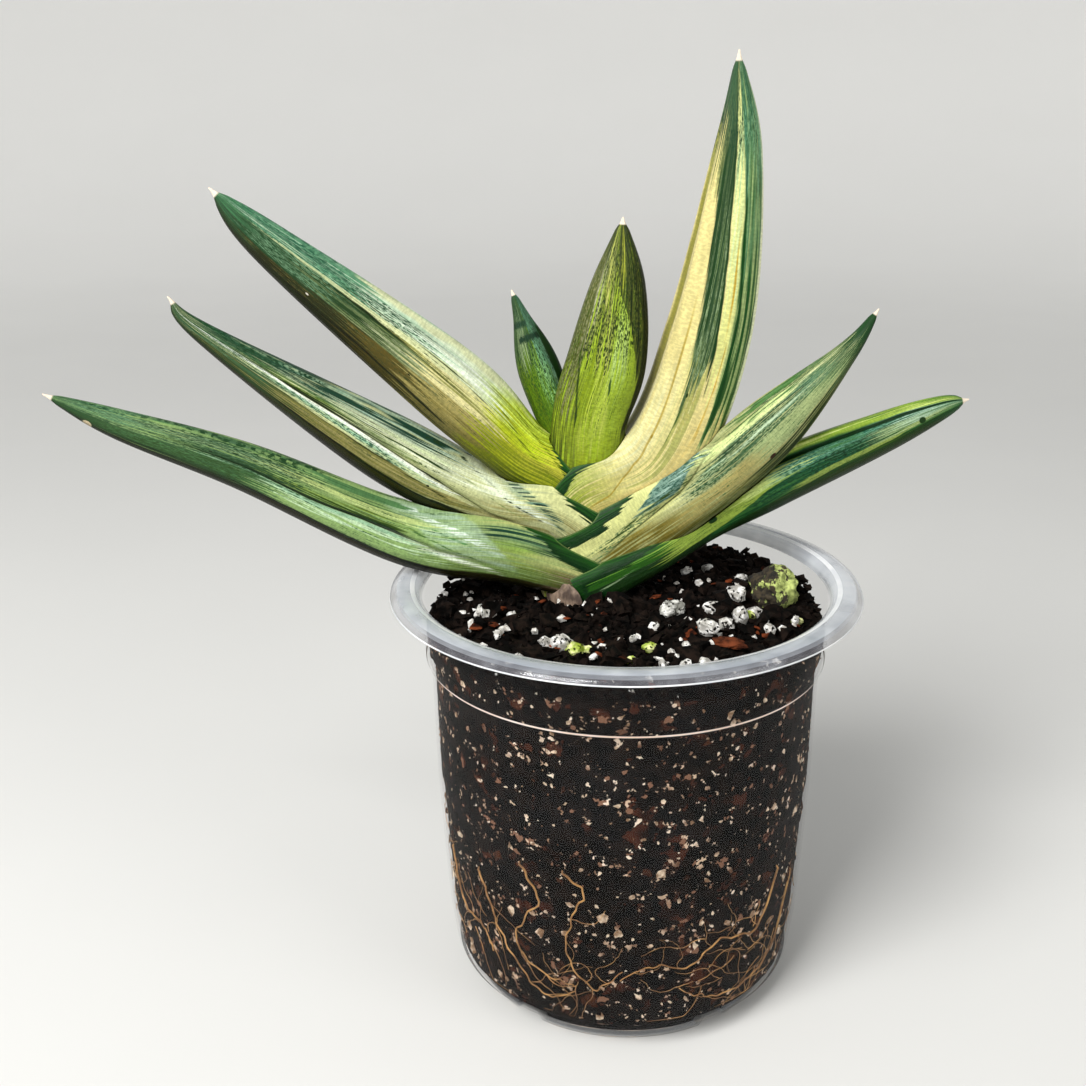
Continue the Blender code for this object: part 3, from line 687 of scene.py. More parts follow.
class Skin(Finish):
    """The waxy skin of one leaf, painted stripe by stripe from its foot to its tip."""

    def __init__(self, name, body, seed):
        super().__init__(name, Specular_IOR_Level=0.12)
        self.across, self.side, self.along = self.split(self.attribute("place"))
        self.fold, self.edge, _ = self.split(self.attribute("trail"))
        self.in_view = self.calc("GREATER_THAN", self.side, 0.0)
        self.back = self.calc("MULTIPLY_ADD", self.calc("LESS_THAN", self.side, 0.0), 5.0, seed)
        self.fine = self.streak(46.0, 8.0)
        self.thin = self.streak(105.0, 8.0)
        self.speck = self.streak(60.0, 95.0)
        self.blotch = self.streak(9.0, 14.0)
        lines = self.fade(self.thin, 0.55, 0.6)
        mottle = self.fade(self.speck, 0.44, 0.56)
        self.masks = {
            "haze": self.fade(self.fine, 0.3, 0.68),
            "streaks": self.fade(self.streak(38.0, 3.5), 0.46, 0.54),
            "lines": lines,
            "mottle": self.times(mottle, self.fade(self.fine, 0.38, 0.5)),
            "dashes": self.times(mottle, lines),
        }
        self.ragged_along = self.shifted(self.along, self.fine, 0.3)
        self.cross_along = self.shifted(self.along, self.speck, 0.03)
        self.ragged_across = self.shifted(self.across, self.blotch, 0.05)
        self.ragged_fold = self.shifted(self.fold, self.blotch, 0.03)
        self.colour = paint(body)

    def streak(self, across, along):
        """Noise drawn out along the leaf: so many grains across and along it."""
        place = self.join(self.times(self.across, across), self.back, self.times(self.along, along))
        return self.noise(place, 1.0)

    def shifted(self, value, by, amount):
        """The value, moved to and fro by a noise."""
        return self.calc("MULTIPLY_ADD", self.calc("SUBTRACT", by, 0.5), amount, value)

    def lay(self, mask, code):
        """A coat of colour where the mask is 1."""
        self.colour = self.mix(mask, self.colour, paint(code))

    def edge_at(self, points):
        """A number, or a curve along the leaf through (along, across) points, in percent."""
        if not isinstance(points, tuple):
            return points / 100
        points = [(along / 100, across / 100) for along, across in points]
        node = self.tree.nodes.new("ShaderNodeFloatCurve")
        bend = node.mapping.curves[0]
        bend.points[0].location, bend.points[-1].location = points[0], points[-1]
        for point in points[1:-1]:
            bend.points.new(*point)
        for point in bend.points:
            point.handle_type = "VECTOR"
        node.mapping.update()
        self.feed(node.inputs["Value"], self.along)
        return node.outputs[0]

    def stripe(self, start, end, edges, code, kind="solid", base="across"):
        """One stripe from start to end along, between its two edges, all in percent."""
        value = self.ragged_fold if base == "fold" else self.ragged_across
        along = self.cross_along if kind == "band" else self.ragged_along
        blur, soft = SOFT_EDGES.get(kind, SHARP_EDGES)
        above, below = (self.edge_at(edge) for edge in edges)
        mask = self.fade(self.calc("SUBTRACT", value, above), -blur, blur)
        mask = self.times(mask, self.fade(self.calc("SUBTRACT", below, value), -blur, blur))
        if start > 0:
            mask = self.times(mask, self.fade(along, start / 100 - soft, start / 100 + soft))
        if end < 100:
            mask = self.times(mask, self.fade(along, end / 100 + soft, end / 100 - soft))
        if kind in self.masks:
            mask = self.times(mask, self.masks[kind])
        self.lay(mask, code)

    def spot(self, across, along, half_across, half_along, code):
        """A small round mark or scar on the side in view, its place and size in percent."""
        aside = self.calc("SUBTRACT", self.ragged_across, across / 100)
        ahead = self.calc("SUBTRACT", self.along, along / 100)
        wide = self.calc("DIVIDE", aside, half_across / 100)
        far = self.calc("DIVIDE", ahead, half_along / 100)
        square = self.calc("ADD", self.times(wide, wide), self.times(far, far))
        self.lay(self.times(self.fade(square, 1.3, 0.7), self.in_view), code)

    def sheath_band(self, limit):
        """The dark free edge of the sheath, which narrows to nothing at its limit, with a pale hem."""
        reach = self.fade(self.along, limit, limit - BAND_TAPER)
        frayed = self.shifted(self.edge, self.fine, BAND_FRAY)
        inside = self.calc("SUBTRACT", self.times(reach, BAND_WIDTH), frayed)
        mask = self.times(self.fade(inside, 0.0, 0.4), self.fade(reach, 0.0, 0.2))
        self.lay(mask, "#08300e")
        self.lay(self.times(self.fade(self.edge, 3.2, 1.0), self.masks["haze"], mask, 0.6), "#2c6a1c")
        self.lay(self.times(self.fade(self.edge, 0.5, 0.25), self.times(reach, 0.25)), "#a3b56c")

    def fold_shade_and_line(self, code, start, end):
        """A line in the fold on the side in view, from start to end in percent. A dark one is painted shade
        in the fold; the gold one of the right top leaf is its own colour.
        """
        mask = self.fade(self.calc("ABSOLUTE", self.fold), 0.016, 0.005)
        mask = self.times(mask, self.fade(self.along, start / 100 - 0.04, start / 100 + 0.04))
        mask = self.times(mask, self.fade(self.along, end / 100 + 0.06, end / 100 - 0.06))
        self.lay(self.times(mask, self.in_view, 0.75), code)

    def wax(self, pebbles, under):
        """Ends the skin: cross bands, painted shade on the lower side, dry tip, fine relief and sheen."""
        self.lay(self.fade(self.streak(18.0, 230.0), 0.62, 0.4, 0.0, 0.2), "#24402a")
        self.lay(self.fade(self.blotch, 0.6, 0.38, 0.0, 0.14), "#2c3c1c")
        # Painted shade: the lower side of the leaf darkens towards near black, as strongly as asked.
        self.lay(self.fade(self.across, 0.64, 1.0, 0.0, under), "#0a0c03")
        self.colour = self.add("Gamma", {"Color": self.colour, "Gamma": DEPTH_OF_COLOUR})
        self.lay(self.fade(self.along, *DRY_TIP), "#eadbc6")
        self.set("Base Color", self.colour)
        grain = self.noise(self.place(), 620.0, 1.0)
        self.relief(self.calc("MULTIPLY_ADD", self.thin, 0.8, self.times(grain, pebbles)), 0.0006, 0.4)
        self.set("Roughness", self.fade(self.fine, 0.3, 0.7, 0.32, 0.46, kind="LINEAR"))


print("stripe kinds: solid, band, streaks, lines, haze, mottle, dashes")

# %% [markdown]
# ## The pattern of each leaf
# No two leaves are striped alike. The young ones in the middle are lime and lined, the tall right
# one is butter yellow with one dark band, and the low ones are green with pale bands.
# Each entry is (start, end, (upper edge, lower edge), colour, kind), in percent of the leaf's length
# and of the way across it. With no kind it is solid, and "fold" at the end means that the edges are
# measured from the fold. The lists follow the plant from the inside out.
# Some entries are painted shade in folds, under a flap and on lower sides, and some are painted highlights;
# they say so where they stand.

# %% Stripes of the two young leaves
STRIPES = {}
STRIPES["small_back"] = ("#6a8a1c", [
    (0, 80, (0, 40), "#6c9c40", "haze"),
    (50, 86, (56, 110), "#6a7a10", "haze"),
    (74, 100, (-10, 30), "#6c9e7c"),
    (80, 100, (34, 110), "#58703e"),
    # Painted highlight: a bright mint-lime patch.
    (68, 81, (18, 44), "#a4d488", "haze"),
    (70, 96, (0, 30), "#a2ccac", "mottle"),
    (62, 97, (10, 100), "#3c6418", "mottle"),
    (76, 97, (0, 85), "#284020", "mottle"),
    (80, 92, (46, 76), "#9aaa80", "streaks"),
    (85.3, 87.2, (-10, 70), "#163220", "band"),
    (89.5, 91.2, (25, 110), "#12301a", "band"),
    (90, 100, (-10, 110), "#3a5c4a", "haze"),
    (92, 97, (20, 110), "#182e20", "mottle"),
    (60, 97, (0, 100), "#1e441a", "dashes"),
    (97, 100, (-10, 110), "#2a4c34"),
    (50, 90, (-10, 3), "#16300c"),
])
YOUNG_LINE = ((50, 38), (61, 47), (65, 41), (70, 38), (82, 38), (86, 34), (95, 24))
YOUNG_LOWER = ((50, 74), (60, 68), (64, 62), (69, 57.5), (73, 56), (78, 51.5), (95, 40))
YOUNG_TOP = ((50, 34), (60, 25), (75, 24), (95, 20))
YOUNG_DARK = ((60, 95), (70, 86), (78, 76), (84, 58), (95, 46))
STRIPES["centre"] = ("#a4bc34", [
    (0, 62, (0, 100), "#8e9a1c", "haze"),
    (50, 74, (52, 96), "#a4bc40", "haze"),
    (0, 68, (-10, 40), "#6e7a20", "haze"),
    (0, 62, (-10, 16), "#4c5618", "haze"),
    (54, 100, (-10, YOUNG_TOP), "#5c6226", "haze"),
    (62, 100, (-10, 20), "#565c26"),
    (56, 97, (-10, YOUNG_TOP), "#84845c", "mottle"),
    (45, 97, (-10, 26), "#242e0c", "dashes"),
    (45, 97, (-10, 24), "#323c10", "lines"),
    # Painted highlight: a pale sheen near the upper edge, as a haze and as streaks.
    (74, 93, (18, 30), "#b6b296", "haze"),
    (76, 90, (20, 28), "#d6d2bc", "streaks"),
    (50, 97, (YOUNG_LINE, YOUNG_LOWER), "#bcc858", "haze"),
    (66, 98, (YOUNG_LINE, YOUNG_LOWER), "#d0d67a", "streaks"),
    (52, 70, (34, 56), "#86981c", "streaks"),
    # Painted highlight: a pale mint patch on the lower half.
    (66, 80, (58, 76), "#bcd484", "haze"),
    (64, 100, (YOUNG_DARK, 110), "#565e24"),
    (58, 98, (YOUNG_DARK, 110), "#1e2608", "streaks"),
    (62, 96, (YOUNG_DARK, 110), "#8c9838", "lines"),
    (72, 97, (50, 100), "#1e2a0a", "mottle"),
    (74, 95, (48, 68), "#3c4c22", "mottle"),
    (86, 96, (56, 68), "#b0b43c", "streaks"),
    (52, 68, line(1.2, (50, 37), (55.6, 33), (60, 27), (65, 22)), "#28380a"),
    (60, 93, line(1.8, *YOUNG_LINE[1:]), "#1e4412", "dashes"),
    (70, 94, line(1.2, *YOUNG_LINE[1:]), "#142e0a", "streaks"),
    (60, 93, line(1.4, *YOUNG_LOWER[1:]), "#2a4c20", "streaks"),
    (50, 97, (0, 100), "#56701c", "dashes"),
    (50, 90, (93, 110), "#1e2806"),
    (72, 98, (20, 56), "#767a3c", "haze"),
    (68, 97, (20, 60), "#2c3812", "mottle"),
    (80, 97, line(3, *YOUNG_LINE[4:]), "#c4c66c", "streaks"),
    (80, 98, (-10, 60), "#3a441c", "lines"),
    (95.5, 100, (-10, 110), "#2c3818", "haze"),
])
print("young leaves:", sum(len(stripes) for _, stripes in STRIPES.values()), "stripes")

# %% Stripes of the two upper leaves
STRIPES["left_top"] = ("#dcd49c", [
    (36, 72, (-10, 30), "#dce6c8"),
    (38, 66, (54, 110), "#aca064"),
    (36, 60, (64, 110), "#8c8044", "haze"),
    (0, 43, (0, 100), "#b0b42c"),
    (28, 46, (0, 42), "#c8e020", "haze"),
    (33, 47, (-10, 20), "#d8ec60", "haze"),
    (0, 34, (20, 62), "#ccbc58", "haze"),
    (20, 44, (50, 110), "#6e7c0c", "haze"),
    (0, 40, (74, 110), "#3c4c08", "haze"),
    (24, 40, line(2, (24, 62), (33, 20), (40, 6)), "#6e7c08", "streaks"),
    (24, 42, line(2, (24, 80), (34, 40), (42, 24)), "#6e7c08", "streaks"),
    (20, 42, (0, 100), "#76880c", "lines"),
    (50, 86, (24, 34), "#d2d6a4"),
    (48, 62, (4, 24), "#eef4e2", "streaks"),
    (44, 70, (34, 48), "#9c9c58", "streaks"),
    (56, 98, (-10, 26), "#b0d0b0", "haze"),
    (70, 98, (-10, 26), "#6c9e7a"),
    (60, 84, (6, 30), "#183c10", "lines"),
    (55, 82, line(1.2, (55, 14), (68, 11), (82, 10)), "#1c4a28", "dashes"),
    (56, 92, (-10, 27), "#d4e6cc", "lines"),
    (60, 94, (4, 27), "#2a543a", "mottle"),
    (48, 74, line(1.2, (45, 31), (60, 25), (75, 21)), "#283c10", "streaks"),
    (50, 72, line(1, (50, 42), (60, 38), (72, 35)), "#484c10", "streaks"),
    (62, 82, line(2.2, (60, 38), (70, 34.5), (82, 35)), "#142406"),
    (58, 96, (38, 62), "#6c7c50"),
    (58, 86, (40, 62), "#a4ac84", "streaks"),
    (64, 90, (36, 58), "#28401e", "streaks"),
    (58, 88, (38, 62), "#20401c", "dashes"),
    (58, 84, (60, 110), "#5c5020"),
    (69, 100, (60, 110), "#2c2a0e"),
    (60, 90, (58, 80), "#746c3c", "lines"),
    (50, 84, line(1.4, (45, 84), (60, 80), (72, 80), (84, 84)), "#1e1804"),
    (50, 80, line(1, (45, 93), (80, 90)), "#2c2208", "streaks"),
    (78, 100, (-10, 30), "#649676", "haze"),
    (76, 98, (0, 32), "#2c6048", "mottle"),
    (74, 100, (30, 64), "#284c2a", "haze"),
    (80, 100, (30, 66), "#24482a"),
    (76, 97, (30, 62), "#6e9070", "mottle"),
    (76, 83, (26, 33), "#c2cc9c", "streaks"),
    (84, 90, (16, 22), "#c8dcb8", "streaks"),
    (45, 72, (-10, 1.2), "#dce0b4"),
    (45, 95, (30, 100), "#34401c", "dashes"),
    (93, 100, (20, 80), "#1c3a1c", "mottle"),
    (95.5, 100, (-10, 110), "#447850", "haze"),
])
BAND_TOP = ((40, 44), (50, 43), (55, 40), (60, 37.5), (70, 33), (80, 28), (87, 23), (100, 20))
BAND_FOOT = ((40, 46), (50, 55), (55, 61), (62, 58), (70, 55), (80, 51), (90, 45), (100, 42))
PALE_TOP = ((48, 64), (70, 57), (80, 53), (90, 46))
PALE_FOOT = ((48, 72), (60, 74), (80, 68), (90, 58))
STRIPES["right_top"] = ("#e6d896", [
    (0, 50, (-10, 36), "#e2e0ae", "haze"),
    (30, 60, (34, 60), "#d2ce90", "haze"),
    (30, 56, (40, 60), "#b4b46c", "streaks"),
    (0, 27, (12, 80), "#b0b83c", "haze"),
    (0, 23, (15, 70), "#688a1c", "haze"),
    (15, 42, (60, 92), "#d8c47c", "haze"),
    (42, 56, (47, 60), "#c4bc70", "mottle"),
    (38, 58, line(1.2, (38, 44), (46, 45.5), (56, 42)), "#40601c", "streaks"),
    (48, 100, (BAND_TOP, BAND_FOOT), "#62764c"),
    (50, 80, (BAND_TOP, BAND_FOOT), "#8ca078", "mottle"),
    (46, 100, (BAND_TOP, BAND_FOOT), "#2c4c28", "lines"),
    (54, 100, (BAND_TOP, BAND_FOOT), "#2e4a2c", "streaks"),
    (74, 100, (BAND_TOP, BAND_FOOT), "#2a4426", "haze"),
    (50, 96, line(1.5, *((a, w + 1) for a, w in BAND_TOP[2:])), "#1c3c18", "haze"),
    (62, 96, line(1.2, *((a, w + 5.5) for a, w in BAND_TOP[3:])), "#142c12", "streaks"),
    (56, 96, line(5, *((a, w + 3) for a, w in BAND_TOP[2:])), "#20401c", "streaks"),
    (50, 94, line(1.4, *((a, w - 1) for a, w in BAND_FOOT[2:])), "#163a16"),
    (50, 96, (PALE_TOP, PALE_FOOT), "#e2e294"),
    (66, 90, (PALE_TOP, PALE_FOOT), "#dcecae", "haze"),
    (40, 74, line(0.9, (40, 70), (50, 71), (74, 66)), "#cca428", "streaks"),
    (42, 100, (((40, 76), (80, 69), (90, 58)), 110), "#a8ba7c"),
    (44, 100, (((40, 77), (80, 70), (90, 60)), 95), "#446c38", "streaks"),
    (44, 98, (((40, 77), (80, 70), (90, 60)), 95), "#285424", "lines"),
    (70, 100, (((40, 78), (80, 70), (90, 60)), 97), "#6a9468", "haze"),
    (46, 90, line(1.6, (46, 79), (60, 77), (80, 71), (90, 64)), "#0e4414"),
    (42, 70, line(1.2, (42, 86), (70, 84)), "#1a5220", "streaks"),
    (42, 93, (95.5, 110), "#f2f6cc"),
    (30, 95, (-10, 1.5), "#9a9440"),
    (84, 100, (52, 100), "#74a886", "haze"),
    (86, 100, (20, 90), "#2c5c3c", "mottle"),
    (83, 97, (-10, 30), "#a0a468", "haze"),
    (88, 100, (-10, 34), "#4c6644"),
    (86, 100, (-10, 60), "#24422a", "mottle"),
    (94, 100, (-10, 110), "#3a6044", "haze"),
])
print("upper leaves:", sum(len(stripes) for _, stripes in STRIPES.values()), "stripes so far")

# %% Stripes of the two middle leaves
STRIPES["left_mid"] = ("#c2c694", [
    (0, 22, (0, 50), "#dadca0"),
    (0, 34, (42, 110), "#908850", "haze"),
    (16, 30, (((18, 42), (27, 0)), ((18, 58), (29, 10))), "#5f8a78", "haze"),
    (17, 29, (((18, 44), (27, 2)), ((18, 54), (28, 8))), "#1c3c34", "streaks"),
    (19, 37, (((20, 50), (33, 2)), ((20, 62), (35, 10))), "#eaf6e2", "haze"),
    (20, 38, line(1.4, (20, 62), (25, 42), (30, 20), (36, 5)), "#1a2e14", "streaks"),
    (22, 42, line(1, (22, 66), (30, 36), (42, 12)), "#7c8c50", "streaks"),
    (28, 64, (4, 36), "#e8efd0", "haze"),
    (42, 74, (4, 20), "#e2f0cc", "streaks"),
    (40, 86, (-10, 12), "#a4c4b0", "haze"),
    (42, 82, (-10, 14), "#3c6c58", "lines"),
    (50, 86, (-10, 16), "#1c4838", "dashes"),
    (40, 78, (8, 26), "#2c5c38", "lines"),
    (42, 76, (15, 21), "#e0ecbc", "streaks"),
    (40, 76, line(1.4, (40, 27), (60, 23.5), (76, 20)), "#24400e", "streaks"),
    (64, 100, (-10, 26), "#5c8c74", "haze"),
    (62, 100, (-10, 26), "#28503e", "lines"),
    (74, 100, (-10, 30), "#38603e", "haze"),
    (66, 96, (-10, 30), "#1c4028", "mottle"),
    (44, 90, (-10, 10), "#26483a", "streaks"),
    (44, 84, (-10, -1), "#5c7412", "haze", "fold"),
    (46, 80, (-6, -2), "#30440a", "streaks", "fold"),
    # Painted shade: a near-black line in the fold.
    (36, 82, (-2.8, 0.4), "#141a04", "streaks", "fold"),
    (38, 96, (1.2, 7.5), "#f2f6e6", "solid", "fold"),
    (44, 84, (6, 14), "#a0ccac", "haze", "fold"),
    (46, 86, (7, 15), "#34604c", "mottle", "fold"),
    (34, 90, (((30, 66), (50, 54), (80, 50)), 73), "#7e7a42"),
    (34, 76, (((30, 66), (50, 54), (80, 50)), 73), "#98905c", "streaks"),
    (34, 90, line(1.4, (34, 72), (42, 60), (50, 54.5), (70, 52)), "#38380e", "streaks"),
    (28, 100, (74, 110), "#3c3812"),
    (32, 92, line(1.8, (34, 77), (50, 74), (90, 73)), "#141204"),
    (36, 100, (84, 110), "#241e06"),
    (70, 100, (44, 100), "#3c4618", "haze"),
    (36, 95, (0, 100), "#2c4020", "dashes"),
    (74, 100, (40, 80), "#34502e", "haze"),
    (80, 100, (0, 62), "#3c6646", "haze"),
    (80, 98, (0, 50), "#1c4426", "mottle"),
    (87, 94, (36, 62), "#8cb092", "dashes"),
    (86, 100, (58, 110), "#1a2c10", "haze"),
    (95, 100, (-10, 110), "#244a28", "haze"),
])
FLAP = ((10, 58), (19, 50), (27, 45.5), (36, 39), (41, 30), (46, 18), (49, 12))
LENS_TOP = ((26, 30), (34, 16), (46, 2))
LENS_FOOT = ((26, 40), (36, 36), (42, 22), (47, 10))
MOTTLE_TOP = ((36, 42), (45, 32), (50, 27))
MOTTLE_FOOT = ((40, 56), (50, 54), (80, 50))
STRIPES["right_mid"] = ("#b4b880", [
    (0, 36, (0, 50), "#d8da94"),
    # Painted shadow under the flap: tan, and darker towards the foot.
    (10, 56, (50, 86), "#94863c", "haze"),
    (10, 34, (56, 90), "#74661e", "haze"),
    (36, 64, (54, 78), "#bcae70", "haze"),
    (10, 42, (((10, 44), (36, 30)), FLAP), "#6a8458", "mottle"),
    (14, 38, line(1, (14, 46), (30, 40), (38, 32)), "#3c5420", "streaks"),
    (26, 47, (LENS_TOP, LENS_FOOT), "#789888"),
    (28, 46, (LENS_TOP, LENS_FOOT), "#345c50", "mottle"),
    (33, 44, line(2.4, (33, 28), (44, 18)), "#a8c4b4", "streaks"),
    (12, 36, line(1.2, (10, 50), (25, 37), (36, 33)), "#3c5018", "streaks"),
    (30, 50, (((30, 50), (40, 38), (50, 30)), ((30, 58), (50, 56))), "#d8d8a4", "haze"),
    (38, 78, (MOTTLE_TOP, MOTTLE_FOOT), "#80a07a", "haze"),
    (36, 82, (MOTTLE_TOP, MOTTLE_FOOT), "#1c4c28", "dashes"),
    (38, 82, (MOTTLE_TOP, MOTTLE_FOOT), "#2a4e30", "mottle"),
    (42, 80, (MOTTLE_TOP, MOTTLE_FOOT), "#345a38", "lines"),
    (42, 78, (27, 33), "#16381a", "streaks"),
    (48, 76, (44, 50), "#1e4824", "streaks"),
    (46, 76, (35, 39), "#c4d8b4", "streaks"),
    (46, 72, (12, 25), "#dce8a4"),
    (50, 70, (8, 12), "#1e400e", "streaks"),
    (58, 80, (0, 20), "#548040", "streaks"),
    (60, 80, (0, 18), "#1c400e", "lines"),
    (74, 97, (((74, 17), (90, 10)), ((74, 22), (90, 18))), "#dcdea8"),
    (74, 94, (20, 52), "#608c6c", "haze"),
    (58, 90, (51, 76), "#a8b680"),
    (66, 80, line(3, (66, 47), (80, 52)), "#2c5c28", "streaks"),
    (32, 100, (82, 110), "#5c6420", "haze"),
    (50, 96, (78, 100), "#2c380e", "streaks"),
    (38, 96, (0, 100), "#44683c", "dashes"),
    (82, 100, (-10, 110), "#54784e", "haze"),
    (88, 100, (-10, 110), "#2c5430"),
    (86, 100, (20, 100), "#143a14", "mottle"),
    (94, 100, (-10, 110), "#1e441e", "haze"),
])
print("middle leaves:", sum(len(stripes) for _, stripes in STRIPES.values()), "stripes so far")

# %% Stripes of the two low leaves
SHEEN_TOP = ((20, 46), (25, 14), (30, -10))
SHEEN_FOOT = ((20, 66), (30, 54), (35, 24), (42, 2))
STRIPES["left_low"] = ("#94b070", [
    (0, 26, (0, 62), "#c8c682", "haze"),
    (0, 34, (54, 84), "#5c6c14", "haze"),
    (10, 25, (((10, 14), (24, 14)), ((10, 36), (24, 40))), "#4c7c5c", "haze"),
    (10, 24, (16, 36), "#1c4030", "streaks"),
    (16, 30, (30, 60), "#98b458", "haze"),
    # Painted sheen: a pale mint patch, with a white highlight streak across it.
    (18, 44, (SHEEN_TOP, SHEEN_FOOT), "#b0c8ac", "haze"),
    (22, 40, line(4, (20, 50), (28, 24), (36, 4)), "#e8f6e6", "streaks"),
    (22, 40, line(1.4, (20, 58), (28, 34), (38, 8)), "#5c8c54", "streaks"),
    (24, 42, line(1.2, (24, 62), (32, 38), (42, 16)), "#446c2c", "streaks"),
    (20, 40, line(2, (20, 74), (30, 62), (40, 50)), "#dce8cc", "streaks"),
    (22, 44, line(1.4, (22, 78), (32, 66), (44, 56)), "#4c6424", "streaks"),
    (36, 80, (-10, 10), "#5c8454", "streaks"),
    (34, 86, line(3, (34, 22), (60, 16), (86, 12)), "#ccdc98", "streaks"),
    (36, 84, line(2, (36, 6), (84, 4)), "#c0d490", "streaks"),
    (34, 68, (12, 24), "#c4d48c", "haze"),
    (40, 80, (0, 30), "#3c5c34", "lines"),
    (36, 76, (4, 28), "#4c7440", "dashes"),
    (34, 76, (11, 20), "#c4d48c"),
    (40, 74, (10, 21), "#6c8c50", "lines"),
    # Painted shade above and in the fold: olive, darkening to a near-black line at the fold.
    (36, 72, (-16, -2), "#6c7c18", "haze", "fold"),
    (38, 74, (-12, -2), "#30480a", "streaks", "fold"),
    (36, 72, (-5, 0.6), "#0c1602", "solid", "fold"),
    (26, 42, (0, 8), "#f4fcec", "haze", "fold"),
    (36, 72, (1.5, 10), "#a4c8a4", "solid", "fold"),
    (32, 80, (10, 22), "#94b070", "haze", "fold"),
    (34, 78, (8, 20), "#c4dcb4", "streaks", "fold"),
    (34, 74, (5, 28), "#2c6430", "dashes", "fold"),
    (62, 100, (-10, 48), "#4e6e50", "haze"),
    (60, 94, (6, 24), "#88a882", "haze"),
    (56, 98, (-10, 50), "#28482a", "mottle"),
    (62, 100, (44, 76), "#344e28"),
    (60, 96, (44, 76), "#4c7246", "mottle"),
    # Painted shade on the lower side: dark olive to near black, with a near-black line above it.
    (0, 100, (77, 110), "#2e260a"),
    (66, 100, (68, 110), "#142a0a", "haze"),
    (28, 66, line(2, (28, 81), (45, 78), (66, 76)), "#0a0a02"),
    (0, 12, (50, 110), "#5c4c34", "haze"),
    (0, 8, (44, 110), "#947e6a", "streaks"),
    (30, 95, (0, 80), "#345436", "dashes"),
    (86, 98, (-10, 34), "#6c9a74", "haze"),
    (90, 100, (-10, 110), "#224c2a", "mottle"),
])
GLOW_FOOT = ((24, 68), (36, 68), (42, 60), (50, 48), (60, 40))
SHADE_TOP = ((34, 70), (42, 60), (50, 48), (60, 41))
SHADE_FOOT = ((36, 80), (50, 68), (60, 60), (84, 54))
STRIPES["right_low"] = ("#3a6c34", [
    (0, 34, (10, 22), "#b4cc6c", "haze"),
    (0, 34, (22, 50), "#2e6018"),
    (0, 32, line(3, (0, 34), (30, 32)), "#6c9c3c", "streaks"),
    (2, 30, line(2, (2, 24), (30, 20)), "#0c340a", "streaks"),
    (0, 34, (50, 110), "#16340e"),
    (2, 34, line(1.8, (2, 62), (14, 48), (34, 60)), "#8ca47c", "streaks"),
    (24, 57, (16, GLOW_FOOT), "#94aa48"),
    (44, 60, (22, ((44, 48), (60, 38))), "#bccc7a"),
    (30, 58, (20, 64), "#6a8a30", "dashes"),
    (54, 100, (14, 46), "#72a48c", "haze"),
    (56, 86, (16, 42), "#1c5c48", "mottle"),
    (60, 84, (16, 40), "#b0d2c0", "dashes"),
    (34, 84, (SHADE_TOP, SHADE_FOOT), "#12441c", "streaks"),
    (50, 84, (SHADE_TOP, SHADE_FOOT), "#1c5840", "haze"),
    (44, 84, (SHADE_TOP, SHADE_FOOT), "#082c18", "mottle"),
    (34, 100, (((34, 78), (50, 70), (62, 64), (90, 60)), 110), "#1a3a0e"),
    (56, 96, line(4.5, (56, 66), (65, 61), (80, 58), (88, 50)), "#8c9e50"),
    (60, 96, line(1.6, (60, 70), (80, 66), (90, 60)), "#3c5c10", "streaks"),
    (78, 97, (30, 56), "#b0c48c", "haze"),
    (86, 98, (16, 46), "#c0d8c4", "haze"),
    (54, 100, (72, 110), "#34440c", "haze"),
    # Painted shade: a dark green line in the groove of the fold.
    (42, 100, (-1, 5.5), "#042c0c", "solid", "fold"),
    # Painted highlight: lime on the lobe above the fold, with pale streaks.
    (44, 98, (-20, -2), "#94b040", "solid", "fold"),
    (44, 98, (-12, -3), "#ccdc80", "streaks", "fold"),
    (46, 98, (-20, -6), "#2c742c", "lines", "fold"),
    (30, 95, (20, 100), "#14502c", "dashes"),
    (95, 100, (-10, 110), "#2c683c", "haze"),
])
SPOTS = {
    "right_mid": [(78, 59, 2.2, 0.9, "#3c1c0c")],
    "left_low": [(87, 91.8, 16, 0.8, "#ecd9b4"), (30, 71.8, 1.2, 0.3, "#101c0a")],
    "left_top": [(71, 78.5, 1.2, 0.3, "#f0e8d8"), (65, 58.5, 1, 0.3, "#241c0c")],
    "right_low": [(44, 35.7, 6, 1.1, "#143c0c"), (50, 88, 9, 0.8, "#16380c")],
    "right_top": [(30, 38, 1.2, 0.4, "#8a7434"), (46, 47, 1.2, 0.4, "#24340c")],
    "left_mid": [(59, 41.5, 1.2, 0.3, "#1c180c")],
}
print("low leaves:", sum(len(stripes) for _, stripes in STRIPES.values()), "stripes in all")

# %% Paint the leaves
# The dark fold lines are painted shade in the folds; the gold line of the right top leaf is its own colour.
FOLD_SHADE_AND_LINES = {
    "right_top": ("#b0962c", 20, 60),
    "left_mid": ("#23280e", 32, 82),
    "right_mid": ("#4a4e20", 12, 46),
    "left_low": ("#141c08", 34, 70),
    "right_low": ("#0c2c10", 50, 97),
}
